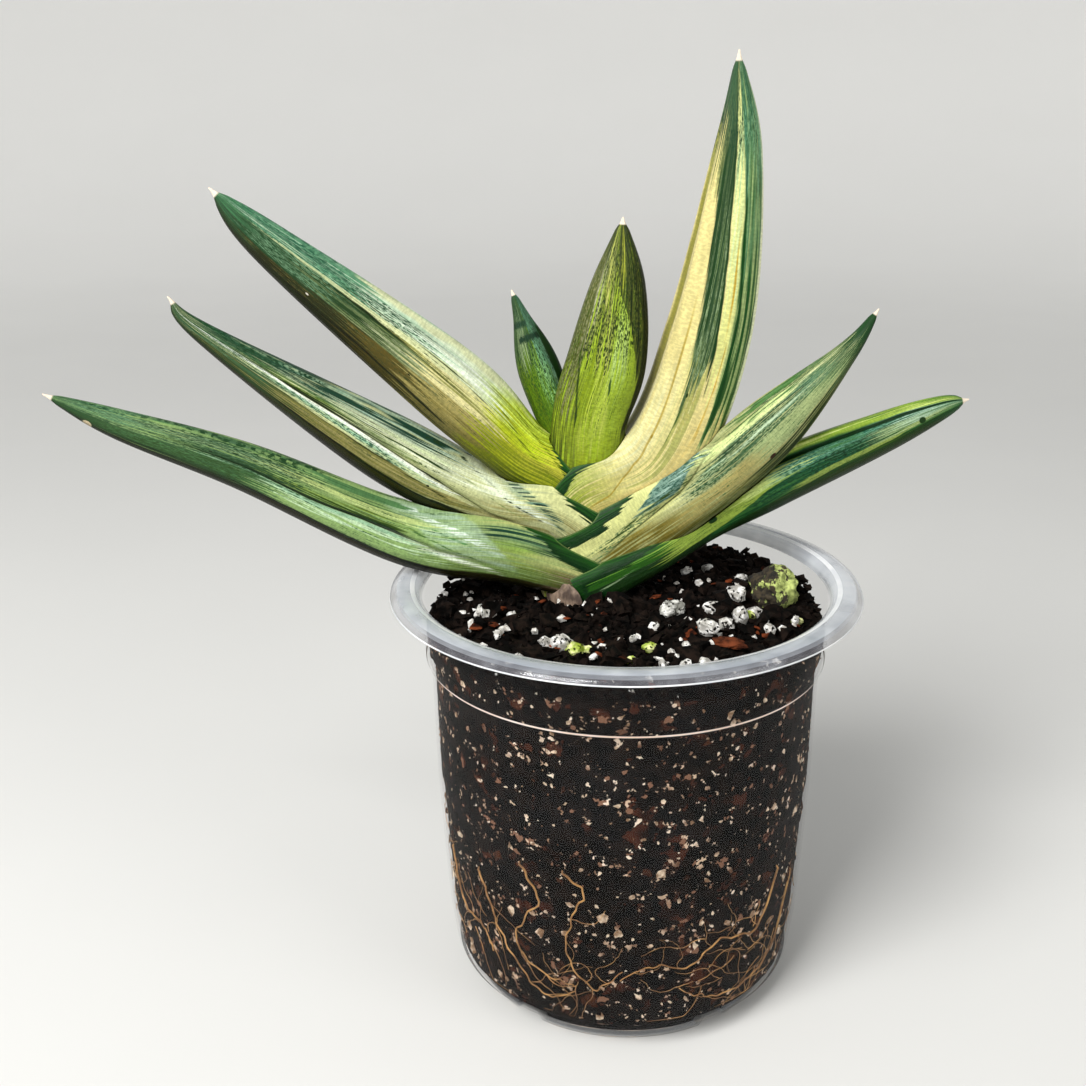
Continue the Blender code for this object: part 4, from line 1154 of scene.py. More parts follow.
# The second number sets how strongly painted shade darkens the lower side of each leaf.
LOOKS = {  # the slot of the record, how dark the lower side is, and how pebbled the skin is
    "small_back": ("leaf_blue", 0.3, 0.6),
    "centre": ("leaf_lime", 0.3, 1.8),
    "left_top": ("leaf_olive", 0.6, 0.6),
    "right_top": ("leaf_gold", 0.0, 0.6),
    "left_mid": ("leaf_dark", 0.7, 0.6),
    "right_mid": ("leaf_dark", 0.35, 0.6),
    "left_low": ("leaf_dark", 0.75, 0.6),
    "right_low": ("leaf_dark", 0.6, 0.6),
}
for number, (name, (body, stripes)) in enumerate(STRIPES.items()):
    slot, under, pebbles = LOOKS[name]
    skin = Skin(f"striped skin {name}", body, 11.0 * number + 3.0)
    for stripe in stripes:
        skin.stripe(*stripe)
    for spot in SPOTS.get(name, []):
        skin.spot(*spot)
    skin.sheath_band(LEAVES[name].clasp)
    if name in FOLD_SHADE_AND_LINES:
        skin.fold_shade_and_line(*FOLD_SHADE_AND_LINES[name])
    skin.wax(pebbles, under)
    put_in_place(leaf_pieces[name], f"leaf_{name}", slot, skin)
    print(name, "skin:", len(skin.tree.nodes), "nodes")

# %% [markdown]
# ## The clear pot
# The pot is a thin shell of clear plastic: a flat foot with five drain channels, a bead, a long
# slightly flared wall, a step, and a milky rolled rim. Such a form is a profile turned round an
# axis, so the profile is spun, the channels are pushed up, and a modifier gives the wall its
# thickness. Drain holes are cut last.

# %% Pot profile
WALL, CHANNELS, CHANNEL_START, CHANNEL_HEIGHT, TIER_RADIUS = 0.6, 5, 18.0, 3.2, 43.5
DRAIN_RADIUS, DRAIN_DIAMETER = 33.0, 5.0
LOWER_WALL = (
    (0, 0), (8, 0), (17, 0), (19, 0), (26, 0), (34, 0), (42.0, 0), (42.9, 0.35), (43.3, 0.9), (43.5, 3.0),
    (43.6, 5.3), (45.8, 5.6), (47.2, 6.1), (48.3, 7.3), (49.1, 9.2), (50.6, 20.0), (51.7, 40.0),
    (52.7, 62.0), (52.95, 82.0), (53.1, 96.8), (53.25, 97.2), (54.3, 97.55), (54.55, 98.15),
    (54.65, 98.6), (55.1, 106.0), (55.5, 114.2),
)
ROLL_MIDDLE, ROLL_HALF, ROLL_BASE, ROLL_RISE = 59.25, 3.75, 114.6, 2.6
ROLL_ANGLES = (12, 26, 40, 54, 73, 84, 96, 110, 124, 138, 152, 166)
LIP_END = (63.05, 115.1)
STEPS_ROUND = 180
rolled_rim = [
    (ROLL_MIDDLE - ROLL_HALF * math.cos(t), ROLL_BASE + ROLL_RISE * math.sin(t) ** 0.8)
    for t in (math.radians(angle) for angle in ROLL_ANGLES)
]
POT_PROFILE = [*LOWER_WALL, *rolled_rim, LIP_END]
print("pot profile points:", len(POT_PROFILE))


# %% Spin the pot
def spun(profile, steps):
    """The profile, from the axis outwards, turned once round the Z axis."""
    bm = bmesh.new()
    verts = [bm.verts.new((max(r, 0.001), 0, z)) for r, z in profile]
    edges = [bm.edges.new(pair) for pair in zip(verts, verts[1:])]
    bmesh.ops.spin(
        bm, geom=verts + edges, cent=(0, 0, 0), axis=(0, 0, 1), angle=math.tau, steps=steps, use_merge=True
    )
    bmesh.ops.remove_doubles(bm, verts=bm.verts, dist=0.01)
    return bm


def raise_channels(bm, lowest, height, outer, half_angle):
    """Pushes the floor up between CHANNEL_START and an outer radius at each channel."""
    pitch = 360 / CHANNELS
    for vert in bm.verts:
        radius = math.hypot(vert.co.x, vert.co.y)
        turn = math.degrees(math.atan2(vert.co.y, vert.co.x)) + 90
        on_floor = vert.co.z < lowest and CHANNEL_START < radius < outer
        if on_floor and abs(turn % pitch - pitch / 2) < half_angle:
            vert.co.z = height


bm = spun(POT_PROFILE, STEPS_ROUND)
raise_channels(bm, 3.1, CHANNEL_HEIGHT, TIER_RADIUS + 0.1, 5.0)
bmesh.ops.recalc_face_normals(bm, faces=bm.faces)
if min(bm.faces, key=lambda f: f.calc_center_median().z).normal.z > 0:
    bmesh.ops.reverse_faces(bm, faces=bm.faces)
pot = finish_mesh("clear_pot", bm, 35.0)
shell = pot.modifiers.new("wall", "SOLIDIFY")
shell.thickness, shell.offset, shell.use_even_offset = WALL * MM, -1.0, True
drains = cutter_group("drains")
for k in range(CHANNELS):
    angle = math.radians(-90 + 360 / CHANNELS * (k + 0.5))
    place = (DRAIN_RADIUS * math.cos(angle), DRAIN_RADIUS * math.sin(angle), CHANNEL_HEIGHT)
    bm = bmesh.new()
    bmesh.ops.create_cone(
        bm, cap_ends=True, segments=32, radius1=DRAIN_DIAMETER / 2, radius2=DRAIN_DIAMETER / 2,
        depth=6, matrix=Matrix.Translation(place),
    )
    move_to(finish_mesh(f"drain_{k}", bm), drains)
cut(pot, drains)
print("pot faces:", len(pot.data.polygons))

# %% [markdown]
# ## Clear and milky plastic
# Clear plastic adds almost no colour of its own. What shows is gloss: a bright streak where a lamp
# is mirrored, and a pale edge where the eye meets the wall at a flat angle. So the wall is nearly
# see-through, dark in its own colour and very glossy. The rolled rim is milky. The bright line on
# the step and the bright lines along the rim's edges are painted highlights, in finishes of their own.

# %% Pot finishes
def plastic(name, dark, light, scale, **constants):
    """A plastic whose colour drifts softly between two tones."""
    finish = Finish(name, IOR=1.5, **constants)
    cloud = finish.noise(finish.place(), scale, 3.0)
    finish.set("Base Color", finish.tones(cloud, 0.38, 0.66, dark, light))
    return finish


POT_FINISHES = (
    plastic("clear wall", "#0b0c0e", "#26282c", 55.0, Alpha=0.07, Roughness=0.1, Specular_IOR_Level=0.9),
    plastic(
        "milky rim", "#b0b6be", "#d6dbe1", 60.0,
        Alpha=0.5, Roughness=0.2, Coat_Weight=0.6, Coat_Roughness=0.08,
    ),
    plastic(
        "clear lip", "#6c6a70", "#b4b6bc", 70.0,
        Alpha=0.3, Roughness=0.15, Coat_Weight=0.5, Coat_Roughness=0.08,
    ),
    # Painted highlights: an opaque pale line on the step, and near-white lines along the edges of the rim.
    plastic("painted step highlight", "#e0c4b4", "#f2e0d6", 80.0, Roughness=0.25, Coat_Weight=0.5),
    plastic("painted rim highlight", "#e6e9ec", "#ffffff", 80.0, Alpha=0.85, Roughness=0.2, Coat_Weight=0.5),
    plastic("foot line", "#221a16", "#dcc6b4", 190.0, Alpha=0.7, Roughness=0.25),
)
CLEAR, MILKY, LIP, STEP_HIGHLIGHT, RIM_HIGHLIGHT, FOOT_LINE = range(6)
ANY = 999.0
POT_ZONES = (  # (finish, lowest and highest middle of a face, smallest and largest radius) in mm
    # The first two zones are painted highlights along the rim's edges; the step's zone is a painted
    # highlight line.
    (RIM_HIGHLIGHT, 114.7, 116.0, 63.0, ANY),
    (RIM_HIGHLIGHT, 117.2, ANY, 56.4, 57.9),
    (LIP, 114.7, ANY, 61.7, ANY),
    (MILKY, 114.7, ANY, -ANY, ANY),
    (STEP_HIGHLIGHT, 97.6, 98.1, 54.3, ANY),
    (FOOT_LINE, -ANY, 0.9, 42.6, ANY),
    (FOOT_LINE, 6.2, 7.2, 47.4, ANY),
)


def pot_finish_at(level, radius):
    """The finish of the first zone that a face of the pot lies in. The rest of the pot is clear."""
    for finish, lowest, highest, inner, outer in POT_ZONES:
        if lowest < level < highest and inner < radius < outer:
            return finish
    return CLEAR


put_in_place(pot, "pot", "pot", *POT_FINISHES)
for face in pot.data.polygons:
    face.material_index = pot_finish_at(face.center.z / MM, face.center.xy.length / MM)
print("pot finishes:", ", ".join(m.name for m in pot.data.materials))

# %% [markdown]
# ## The soil
# The mix is black and crumbly, with perlite, pumice and bark in it. Its body is one turned form
# that fills the pot, roughened by noise, with plain holes for the leaves. On top of it lie loose
# crumbs, and pale and brown grains are pressed against the wall. Most grains are small balls of
# twenty faces, squashed and dented by a seeded rule, so every run gives the same soil.

# %% Soil body
SOIL_EDGE, ROOT_GAP, ROOTS_TOP = 107.4, 0.85, 58.0
MOUNDS = ((22, 24, 3.6, 24), (-10, 12, 1.6, 13), (-8, -4, 1.8, 8), (-34, 14, -0.8, 12), (4, -38, -1.0, 16))
LUMP_HEIGHT, LUMP_SIZE = 2.2, 6.5
SOIL_FLOOR, SOIL_RADIUS, TOP_STEP, TOP_RINGS = 1.3, 53.0, 1.25, 42
CORNER_TOP = 7.0  # above this the pot's wall is a plain curve
WALL_POINTS = [(r, z) for r, z in LOWER_WALL if z >= CORNER_TOP]
UPPER_FROM = 96.0
UPPER_SIDE = ((95.0, 52.1), (97.4, 52.4), (99.0, 53.4), (103.0, 54.0), (106.2, 54.2))  # (height, radius)


def wall_radius(z):
    """Inner radius of the pot's wall at a height above its bottom corner."""
    return between([(height, r - WALL) for r, height in WALL_POINTS], max(z, CORNER_TOP))


def soil_level(x, y):
    """Height of the soil's top at a place."""
    level = SOIL_EDGE
    for mound_x, mound_y, height, spread in MOUNDS:
        level += height * math.exp(-((x - mound_x) ** 2 + (y - mound_y) ** 2) / (2 * spread**2))
    lumps = noise.noise(Vector((x / LUMP_SIZE, y / LUMP_SIZE, 3.7)))
    lumps += 0.5 * noise.noise(Vector((2 * x / LUMP_SIZE, 2 * y / LUMP_SIZE, 8.1)))
    edge = smooth_step((SOIL_RADIUS - math.hypot(x, y)) / 6)
    return level + LUMP_HEIGHT * lumps * (0.4 + 0.6 * edge)


def soil_side(z):
    """Radius of the soil's side: back from the wall where the roots run, close to it above."""
    if z > UPPER_FROM:
        return between(UPPER_SIDE, z)
    near = smooth_step((z - ROOTS_TOP) / 4)
    return wall_radius(z) - ROOT_GAP + (ROOT_GAP - GAP) * near


bottom = [(radius, SOIL_FLOOR) for radius in (0, 10, 16, 18.3, 26, 34, 41.4)]
corner = [(42.2, 1.9), (42.2, 4.5), (42.4, 6.4), (45.2, 6.7), (46.7, 7.3), (47.7, 8.6)]
side = [(soil_side(z), z) for z in range(10, 107, 2)]
top = [(SOIL_RADIUS - TOP_STEP * k, SOIL_EDGE) for k in range(TOP_RINGS)]
bm = spun([*bottom, *corner, *side, *top, (0, SOIL_EDGE)], STEPS_ROUND)
raise_channels(bm, 2.5, CHANNEL_HEIGHT + WALL + 0.3, 42.25, 7.5)
at_wall_layer = bm.verts.layers.float.new("at_wall")
for vert in bm.verts:
    x, y, z = vert.co
    rough = noise.noise(vert.co * 0.55) + 0.7 * noise.noise(vert.co * 1.3)
    if z > SOIL_EDGE - 0.01:
        vert.co.z = soil_level(x, y) + 0.6 * rough
    elif z > 8:
        vert.co.xy *= 1 - 0.004 * max(rough + 0.4, 0.0)
        vert[at_wall_layer] = 1.0
face_outwards(bm)
soil = finish_mesh("potting_soil", bm, 60.0)
cut(soil, inner_leaves)
print("soil faces:", len(soil.data.polygons))


# %% Grain maker
def grain(bm, centre, size, rng, normal=None, flat=0.7, ragged=0.16, faces=1):
    """One dented grain, lying along a surface whose normal is given."""
    up = (normal or Vector((0, 0, 1))).to_track_quat("Z", "Y").to_matrix().to_4x4()
    turn = Matrix.Rotation(rng.uniform(0, math.tau), 4, "Z")
    tilt = Matrix.Rotation(rng.uniform(-0.5, 0.5) if normal is None else 0.0, 4, "X")
    squash = Matrix.Diagonal((1.0, rng.uniform(0.5, 0.95), flat * rng.uniform(0.75, 1.1), 1.0))
    made = bmesh.ops.create_icosphere(bm, subdivisions=faces, radius=size / 2)["verts"]
    for vert in made:
        vert.co += Vector([rng.uniform(-ragged, ragged) * size for _ in range(3)])
    bmesh.ops.transform(bm, matrix=Matrix.Translation(centre) @ up @ turn @ tilt @ squash, verts=made)


def strew(name, places, seed, smooth=30.0, **form):
    """Joins many grains in one mesh, a hundred at a time, which keeps the operators quick."""
    rng = random.Random(seed)
    whole = bmesh.new()
    for start in range(0, len(places), 100):
        part = bmesh.new()
        for centre, size, normal in places[start : start + 100]:
            grain(part, centre, size, rng, normal, **form)
        batch = bpy.data.meshes.new("batch")
        part.to_mesh(batch)
        part.free()
        whole.from_mesh(batch)
        bpy.data.meshes.remove(batch)
    return finish_mesh(name, whole, smooth)


MOSS_SPOT, PUMICE_SPOT, CHIP_SPOT = (41, 5), (13, -5), (27, -24)
TAKEN = ((*MOSS_SPOT, 6.8), (*PUMICE_SPOT, 3.2), (*CHIP_SPOT, 3.4))  # where larger lumps lie, (x, y, radius)
FOOT_REACH, TOP_REACH, TOP_LIMIT, RIM_REACH = 15, 52.4, 53.2, 53.4


def on_foot(x, y):
    """Whether a place lies under the foot of the fan."""
    return math.hypot((x - FOOT_X) / FOOT_REACH, (y - FOOT_Y) / FOOT_REACH) < 1


def on_lump(x, y, reach):
    """Whether a grain of this reach would touch a larger lump."""
    return any(math.hypot(x - a, y - b) < size + reach for a, b, size in TAKEN)


def top_places(count, sizes, seed, sink):
    """Seeded spots on the soil's top, off the leaves' feet and the big lumps."""
    rng = random.Random(seed)
    found = []
    while len(found) < count:
        radius, angle = TOP_REACH * math.sqrt(rng.random()), rng.uniform(0, math.tau)
        x, y = radius * math.cos(angle), radius * math.sin(angle)
        size = rng.choice(sizes)
        if on_foot(x, y) or on_lump(x, y, size / 2) or radius + 0.6 * size > TOP_LIMIT:
            continue
        found.append((Vector((x, y, soil_level(x, y) + sink * size)), size, None))
    return found


def rim_places(count, sizes, seed, climb):
    """Seeded spots round the soil's edge, where crumbs have climbed the wall a little."""
    rng = random.Random(seed)
    found = []
    for _ in range(count):
        angle, size = rng.uniform(0, math.tau), rng.choice(sizes)
        radius = RIM_REACH - 0.62 * size
        x, y = radius * math.cos(angle), radius * math.sin(angle)
        drift = max(0.0, noise.noise(Vector((2.2 * math.cos(angle), 2.2 * math.sin(angle), 6.0))) + 0.35)
        height = soil_level(x, y) + rng.random() ** 2 * climb * drift
        found.append((Vector((x, y, height)), size, None))
    return found


def seen_places(spots, sink):
    """The spots of grains that the photograph shows, from (x, y, size)."""
    return [(Vector((x, y, soil_level(x, y) + sink * size)), size, None) for x, y, size in spots]


def wall_places(count, sizes, seed, low_z, high_z, flat):
    """Seeded spots on the soil's side, each grain turned to face the wall and just off it."""
    rng = random.Random(seed)
    found = []
    for _ in range(count):
        turn, z, size = rng.uniform(0, math.tau), rng.uniform(low_z, high_z), rng.choice(sizes)
        out = Vector((math.cos(turn), math.sin(turn), 0))
        reach = min(soil_side(z) + 0.12 * size, wall_radius(z) - 0.12 - 0.8 * flat * size)
        found.append((out * reach + Vector((0, 0, z)), size, out))
    return found


print("larger lumps that grains keep clear of:", len(TAKEN))

# %% Loose crumbs, perlite and bark
crumb_places = top_places(1900, (0.9, 1.2, 1.5, 1.8, 2.2, 2.7), 21, 0.2)
crumbs = strew("dark_crumbs", crumb_places, 22, flat=0.8, ragged=0.24)
chunk_places = top_places(330, (3.0, 3.6, 4.4, 5.4, 6.6), 23, 0.12)
chunk_places += rim_places(190, (1.6, 2.2, 3.0, 3.8), 25, 5.0)
chunks = strew("dark_chunks", chunk_places, 24, flat=0.7, ragged=0.3)
SEEN_PALE = (
    (-16.0, -27.5, 6.4), (-20.0, -25.5, 4.4), (-32.5, -22.9, 3.4), (21.6, -18.6, 6.6), (26.5, -14.6, 5.0),
    (24.1, -2.4, 6.2), (30.5, 2.7, 6.4), (9.8, -33.8, 3.6), (-7.1, -32.0, 3.4), (45.2, -10.6, 3.8),
    (31.0, -9.0, 6.0), (35.0, -4.0, 5.0), (18.0, 17.0, 4.0), (24.0, 22.0, 4.2), (33.0, 14.0, 4.0),
    (15.5, -35.5, 4.0), (20.5, -33.5, 4.4), (2.5, -20.0, 3.0), (8.0, -14.0, 3.2), (16.0, -24.0, 4.0),
    (-38.0, -10.0, 5.6), (-30.0, -6.0, 4.2), (38.0, -16.0, 4.2),
)
perlite = strew("pumice_grains", seen_places(SEEN_PALE, 0.3), 32, flat=0.75, ragged=0.1, faces=2)
small_pale = top_places(250, (0.6, 0.8, 1.0, 1.3, 1.7, 2.2, 2.8), 31, 0.42)
specks = strew("perlite_specks", small_pale, 33, flat=0.75, ragged=0.2)
SEEN_GREEN = (
    (-12.3, -28.8, 5.4), (6.8, -24.8, 4.2), (2.1, -34.0, 3.2), (-9.0, -28.0, 2.8), (33.5, -6.5, 4.4),
    (46.0, -8.0, 3.4),
)
tinted = strew("algae_tinted_grains", seen_places(SEEN_GREEN, 0.32), 36, flat=0.8, ragged=0.1, faces=2)
bark_places = top_places(85, (1.4, 2.0, 2.6, 3.4, 4.4), 41, 0.3)
bark_bits = strew("bark_bits", bark_places, 42, flat=0.35, ragged=0.2)
for heap in (crumbs, chunks, perlite, specks, tinted, bark_bits):
    print(heap.name, "faces:", len(heap.data.polygons))

# %% Grains pressed against the wall
SMALL, MIDDLE, LARGE = (0.5, 0.6, 0.7, 0.9, 1.1), (1.4, 1.7, 2.1, 2.6), (3.2, 3.8)
pressed = wall_places(520, SMALL, 51, 11.0, 106.0, 0.3) + wall_places(240, MIDDLE, 52, 11.0, 104.0, 0.3)
pressed += wall_places(22, LARGE, 56, 14.0, 96.0, 0.3)
pressed_grains = strew("pressed_pale_grains", pressed, 53, flat=0.3, ragged=0.26)
dark_places = wall_places(240, (1.8, 2.6, 3.4, 4.4), 54, 12.0, 104.0, 0.26)
dark_pressed = strew("pressed_bark", dark_places, 55, flat=0.26, ragged=0.24)
print("pressed grains:", len(pressed), "pale and", len(dark_places), "dark")

# %% [markdown]
# ## Soil colours
# Wet soil is nearly black, with a brown warmth in the high spots. Perlite is white outdoors and
# beige through the plastic, where dust clings to it. A few grains have gone green with algae.
# Each finish mixes two or three colours by noise at the size of a grain, so neighbours differ.
# Where the soil lies against the wall, flattened bits show as beige and brown flecks.

# %% Soil finishes
def earth(name, dark, light, scale, depth, pit_shade=None):
    """An earthy finish: two colours by noise, with dark pits of painted shade if asked for."""
    finish = Finish(name, Roughness=0.92, Specular_IOR_Level=0.08)
    spot = finish.place()
    rough = finish.noise(spot, scale, 3.0, 0.55)
    colour = finish.tones(rough, 0.38, 0.68, dark, light)
    if pit_shade:
        # Painted shade: small dark spots stand for the shade in the pores.
        pit_shade_mask = finish.fade(finish.noise(spot, 900.0, 2.0), 0.56, 0.61)
        colour = finish.mix(pit_shade_mask, colour, paint(pit_shade))
    finish.set("Base Color", colour)
    finish.relief(rough, depth, 0.8)
    return finish


FLECKS = (  # (fineness, threshold, strength, dark tone, light tone)
    (150.0, 0.6, 0.75, "#1c0f0a", "#4c281a"),
    (210.0, 0.645, 0.9, "#3c2418", "#8c6650"),
    (290.0, 0.645, 1.0, "#6c4c3a", "#d8bca0"),
    (380.0, 0.66, 1.0, "#9c7a62", "#f4e2cc"),
)


def flecked_soil():
    """Black soil whose side, pressed against the wall, shows beige and brown flecks."""
    finish = earth("damp black soil", "#050403", "#1a120e", 260.0, 0.00004)
    spot, pressed_side = finish.place(), finish.attribute("at_wall")
    colour = finish.shader.inputs["Base Color"].links[0].from_socket
    tone = finish.fade(finish.noise(spot, 210.0, 1.0), 0.35, 0.62)
    for scale, start, strength, dark, light in FLECKS:
        seen = finish.fade(finish.noise(spot, scale, 3.0, 0.6), start, start + 0.02)
        seen = finish.times(seen, pressed_side, strength)
        colour = finish.mix(seen, colour, finish.mix(tone, paint(dark), paint(light)))
    finish.set("Base Color", colour)
    return finish


SOIL_FINISHES = (
    (soil, flecked_soil()),
    (crumbs, earth("dark crumbs", "#040302", "#1c1410", 330.0, 0.0008)),
    (chunks, earth("dark chunks", "#050403", "#211813", 300.0, 0.001)),
    (perlite, earth("pitted white pumice", "#a8a49c", "#fffdf8", 520.0, 0.0007, pit_shade="#14110e")),
    (specks, earth("white perlite", "#b8b2a8", "#fffdf8", 700.0, 0.0005)),
    (tinted, earth("algae on pumice", "#94a838", "#f0f2ac", 420.0, 0.0005, pit_shade="#1c1c08")),
    (bark_bits, earth("reddish bark", "#200e08", "#7c3c20", 300.0, 0.0006)),
    (pressed_grains, earth("beige grains behind plastic", "#86684e", "#f2ddc2", 420.0, 0.0005)),
    (dark_pressed, earth("brown bark behind plastic", "#0c0806", "#4a2a1a", 260.0, 0.0006)),
)
for piece, finish in SOIL_FINISHES:
    put_in_place(piece, "soil", "soil", finish)
print("soil finishes:", len(SOIL_FINISHES))

# %% [markdown]
# ## The roots
# Golden roots leave the short rhizome, cross the soil and run down and round the inside of the
# wall, where they fork into threads. A root is a curve with a round bevel, thinner towards its
# end. The threads are seeded: each leaves a root at a random place and wanders along the wall.

# %% Root paths
ROOT_RADIUS, ROOT_CLEARANCE, ROOT_STEPS, ROOTS_LOWEST = 0.28, 0.2, 48, 10.0
CROWN_CENTRE, CROWN_REACH = Vector((FOOT_X, FOOT_Y, 90.0)), (9, 9.5, 11)
KINK_TURN, KINK_RISE, ROOT_TAPER = 1.5, 1.3, 0.45  # degrees, mm, share of the radius lost at the end
STRIDE_TURN, STRIDE_RISE, SINKING = 1.5, 1.2, 0.25  # a thread's steps along the wall, degrees and mm
ROOTS_IN_FRONT = (
    ((-121, 55), (-115, 46), (-123, 34), (-122, 27), (-112, 22), (-103, 21)),
    ((-107, 56), (-101, 51), (-105, 41), (-106, 30), (-98, 21), (-90, 27)),
    ((-139, 46), (-134, 38), (-130, 30), (-122, 21), (-113, 15), (-104, 19)),
    ((-158, 44), (-151, 30), (-139, 28), (-134, 22)),
    ((-35, 46), (-44, 31), (-58, 33), (-70, 27), (-80, 29), (-90, 25)),
    ((-24, 40), (-34, 20), (-47, 14), (-62, 15), (-72, 20)),
)
ROOTS_BEHIND, BEHIND_FROM, BEHIND_TO = 5, 0.0, 190.0
THREADS_PER_ROOT, BUNDLE_THREADS, LEFT_THREADS = 5, 24, 14
BUNDLE_TURN, BUNDLE_HEIGHT = -52, 27  # a mat of threads at the lower right, degrees round and height


def roots_behind():
    """Seeded paths for the roots on the hidden side."""
    rng = random.Random(5)
    found = []
    for k in range(ROOTS_BEHIND):
        turn = BEHIND_FROM + (BEHIND_TO - BEHIND_FROM) * (k + 0.5) / ROOTS_BEHIND + rng.uniform(-9, 9)
        height, low_end = rng.uniform(44, 56), rng.uniform(13, 26)
        sweep = rng.choice((-1, 1)) * rng.uniform(22, 34)
        bend = rng.uniform(-6, 6)
        middle = (height + low_end) / 2
        upper_half = ((turn, height), (turn + bend, middle))
        found.append((*upper_half, (turn + 0.3 * sweep, low_end), (turn + sweep, low_end + bend)))
    return found


def at_wall(turn, z, radius):
    """A point on the inside of the wall for a root of this radius."""
    out = wall_radius(z) - ROOT_CLEARANCE - radius
    return Vector((out * math.cos(math.radians(turn)), out * math.sin(math.radians(turn)), z))


def main_root(stations, seed):
    """Points and radii from the crown to the wall, then along it, with small kinks."""
    wall = []
    for k in range(ROOT_STEPS + 1):
        turn, z = on_curve(stations, k / ROOT_STEPS)
        kink = Vector((3.1 * k / ROOT_STEPS, seed, 0))
        turn += KINK_TURN * noise.noise(kink * 5)
        z += KINK_RISE * noise.noise(kink * 5 + Vector((0, 0, 5)))
        thin = ROOT_RADIUS * (1 - ROOT_TAPER * k / ROOT_STEPS)
        wall.append((at_wall(turn, max(z, ROOTS_LOWEST), thin), thin))
    across = []
    for share, rise in ((0, 0), (0.3, 4), (0.75, 5)):
        across.append((CROWN_CENTRE.lerp(wall[0][0], share) + Vector((0, 0, rise)), ROOT_RADIUS))
    return [*across, *wall]


def thread(start_turn, start_z, rng):
    """A fine side root that wanders along the wall."""
    turn, z, radius = start_turn, start_z, rng.uniform(0.06, 0.12)
    heading = rng.uniform(0, math.tau)
    points = []
    for k in range(rng.randint(9, 20)):
        points.append((at_wall(turn, max(z, ROOTS_LOWEST), radius), radius * (1 - 0.04 * k)))
        heading += rng.uniform(-0.5, 0.5)
        turn += STRIDE_TURN * math.cos(heading)
        z += STRIDE_RISE * math.sin(heading) - SINKING
        z = min(z, ROOTS_TOP - 2)
    return points


root_lines = (*ROOTS_IN_FRONT, *roots_behind())
paths = [main_root(stations, 7.0 * k) for k, stations in enumerate(root_lines)]
rng = random.Random(77)
for stations in root_lines:
    for _ in range(THREADS_PER_ROOT):
        turn, z = on_curve(stations, rng.uniform(0.15, 1.0))
        paths.append(thread(turn, z, rng))
for _ in range(BUNDLE_THREADS):
    paths.append(thread(BUNDLE_TURN + rng.uniform(-16, 22), BUNDLE_HEIGHT + rng.uniform(-10, 8), rng))
for _ in range(LEFT_THREADS):
    paths.append(thread(rng.uniform(-178, -130), rng.uniform(12, 52), rng))
print("roots and threads:", len(paths))

# %% Roots and crown as one piece
strand_curve = bpy.data.curves.new("strands", "CURVE")
strand_curve.dimensions = "3D"
strand_curve.bevel_depth = 1.0 * MM
strand_curve.bevel_resolution = 1
strand_curve.use_fill_caps = True
for path in paths:
    strand = strand_curve.splines.new("POLY")
    strand.points.add(len(path) - 1)
    for point, (place, radius) in zip(strand.points, path):
        point.co = (*(place * MM), 1)
        point.radius = radius
guide = bpy.data.objects.new("strands", strand_curve)
scene.collection.objects.link(guide)
bpy.context.view_layer.update()
strands = bpy.data.meshes.new_from_object(guide.evaluated_get(bpy.context.evaluated_depsgraph_get()))
bpy.data.objects.remove(guide, do_unlink=True)

bm = bmesh.new()
bmesh.ops.create_uvsphere(bm, u_segments=32, v_segments=20, radius=1.0)
for vert in bm.verts:
    vert.co = CROWN_CENTRE + Vector([reach * part for reach, part in zip(CROWN_REACH, vert.co)])
    vert.co.z = min(vert.co.z, FOOT_Z - GAP)
bmesh.ops.scale(bm, vec=(MM, MM, MM), verts=bm.verts)
bm.from_mesh(strands)
bmesh.ops.remove_doubles(bm, verts=bm.verts, dist=1e-7)
bmesh.ops.recalc_face_normals(bm, faces=bm.faces)
bmesh.ops.scale(bm, vec=(1 / MM, 1 / MM, 1 / MM), verts=bm.verts)
roots = finish_mesh("golden_roots", bm, 60.0)
root_finish = Finish("golden root skin", Roughness=0.6)
fibre = root_finish.noise(root_finish.place(), 240.0, 3.0)
root_finish.set("Base Color", root_finish.tones(fibre, 0.35, 0.7, "#8c6032", "#d8a460"))
root_finish.relief(fibre, 0.0003, 0.6)
put_in_place(roots, "roots", "roots", root_finish)
print("root faces:", len(roots.data.polygons))

# %% [markdown]
# ## The dry scale at the foot
# An old leaf has dried to a papery brown scale that hugs the front left of the foot, with its right
# end curled. A small grid is bent round an ellipse, its top made uneven, and given a thin wall.

# %% Papery scale
SCALE_X, SCALE_Y, SCALE_Z, SCALE_TOP = 11.4, 14.2, 106.0, 115.4
SCALE_START, SCALE_TURN, SCALE_THICKNESS = 206.0, 60.0, 0.7
BELLY, WRINKLE, CURL, CURL_FROM, UNEVEN = 1.2, 0.2, 0.9, 0.75, 0.25
bm = bmesh.new()
bmesh.ops.create_grid(bm, x_segments=56, y_segments=28, size=0.5)
for vert in bm.verts:
    along, up = vert.co.x + 0.5, vert.co.y + 0.5
    lobe = (1 - (0.97 * up) ** 4.0) ** 0.5  # the lobe is as wide as this share of its foot
    turn = math.radians(SCALE_START + SCALE_TURN * (0.5 + (along - 0.5) * lobe))
    belly = BELLY * math.sin(math.pi * up) + WRINKLE * noise.noise(Vector((12 * along, 3 * up, 4)))
    belly += CURL * max(0.0, along - CURL_FROM) * 4 * up * (1 - up)
    vert.co.x = FOOT_X + (SCALE_X + belly) * math.cos(turn)
    vert.co.y = FOOT_Y + (SCALE_Y + belly) * math.sin(turn)
    vert.co.z = SCALE_Z + (SCALE_TOP - SCALE_Z) * up + UNEVEN * noise.noise(Vector((9 * along, 0, 9)))
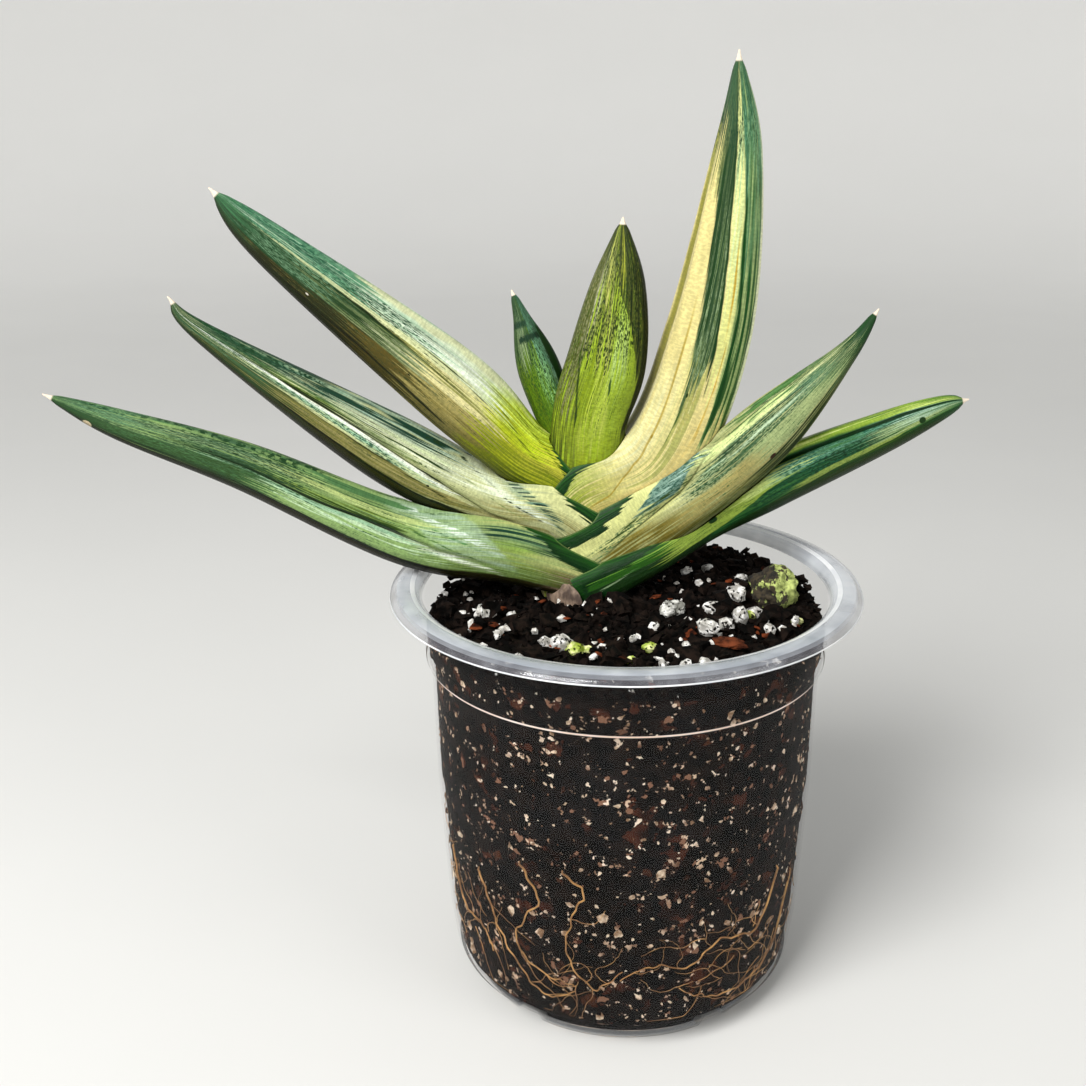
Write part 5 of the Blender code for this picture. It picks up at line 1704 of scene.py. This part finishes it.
bmesh.ops.recalc_face_normals(bm, faces=bm.faces)
scale_piece = finish_mesh("papery_scale", bm)
wall = scale_piece.modifiers.new("thickness", "SOLIDIFY")
wall.thickness, wall.offset = SCALE_THICKNESS * MM, 0.0
cut(scale_piece, inner_leaves)
paper = Finish("dry papery scale", Roughness=0.7)
fibres = paper.add("Mapping", {"Vector": paper.place(), "Scale": (420.0, 420.0, 260.0)})
strand_noise = paper.noise(fibres, 1.0, 3.0)
paper.set("Base Color", paper.tones(strand_noise, 0.35, 0.7, "#44342a", "#96806c"))
paper.relief(strand_noise, 0.0003, 0.7)
put_in_place(scale_piece, "dry_sheath", "dry_sheath", paper)
print("scale faces:", len(scale_piece.data.polygons))

# %% [markdown]
# ## Three larger lumps
# A mossy stone, an oblong piece of pumice and a chip of bark lie on the soil. Each starts as a
# fine ball, is pressed to its size and is roughened by noise at three scales.

# %% Lumps on the soil
LUMPS = (
    ("mossy_stone", "moss_lump", "moss", (*MOSS_SPOT, 112.6), (13.8, 11.4, 12.2), 20, 3),
    ("pumice_stone", "pumice_lump", "pumice", (*PUMICE_SPOT, 110.5), (7.5, 5.0, 4.5), 35, 5),
    ("bark_piece", "bark_chip", "bark", (*CHIP_SPOT, 109.2), (9.0, 4.5, 2.6), -25, 8),
)


def lump(name, place, size, turn, seed):
    """A fine ball, pressed to its size, roughened, turned and laid in its place."""
    bm = bmesh.new()
    bmesh.ops.create_icosphere(bm, subdivisions=5, radius=1.0)
    for vert in bm.verts:
        rough = 1 + 0.26 * noise.noise(vert.co * 1.7 + Vector((seed, 0, 0)))
        rough += 0.1 * noise.noise(vert.co * 5 + Vector((0, seed, 0)))
        rough += 0.045 * noise.noise(vert.co * 14 + Vector((0, 0, seed)))
        vert.co = Vector([vert.co[i] * size[i] / 2 * rough for i in range(3)])
    bmesh.ops.rotate(bm, matrix=Matrix.Rotation(math.radians(turn), 3, "Z"), verts=bm.verts)
    bmesh.ops.translate(bm, vec=place, verts=bm.verts)
    return finish_mesh(name, bm, 60.0)


moss = Finish("moss on brown stone", Roughness=0.9)
patch = moss.noise(moss.place(), 210.0, 4.0, 0.65)
crust = moss.noise(moss.place(), 480.0, 4.0, 0.7)
stone = moss.tones(crust, 0.35, 0.65, "#0e0c08", "#443a28")
green = moss.tones(crust, 0.35, 0.62, "#626e30", "#c8d47c")
east = moss.split(moss.place())[0]
lean = moss.calc("MULTIPLY_ADD", patch, 2.0, moss.calc("MULTIPLY_ADD", east, 22.0, -1.402))
moss.set("Base Color", moss.mix(moss.fade(lean, 0.46, 0.54), stone, green))
moss.relief(crust, 0.0008, 0.9)
LUMP_FINISHES = {
    "moss": moss,
    "pumice": earth("pitted pumice", "#85847c", "#f0efe8", 420.0, 0.0009, pit_shade="#3a3833"),
    "bark": earth("red bark", "#30170e", "#743c24", 260.0, 0.0008),
}
for name, node, slot, place, size, turn, seed in LUMPS:
    piece = lump(name, place, size, turn, seed)
    put_in_place(piece, node, slot, LUMP_FINISHES[slot])
    print(name, "faces:", len(piece.data.polygons))

# %% [markdown]
# ## Clear up
# The forms that only cut others are removed.

# %% Remove the cutters
for group in (inner_leaves, drains):
    for cutter in list(group.objects):
        bpy.data.objects.remove(cutter, do_unlink=True)
    bpy.data.collections.remove(group)
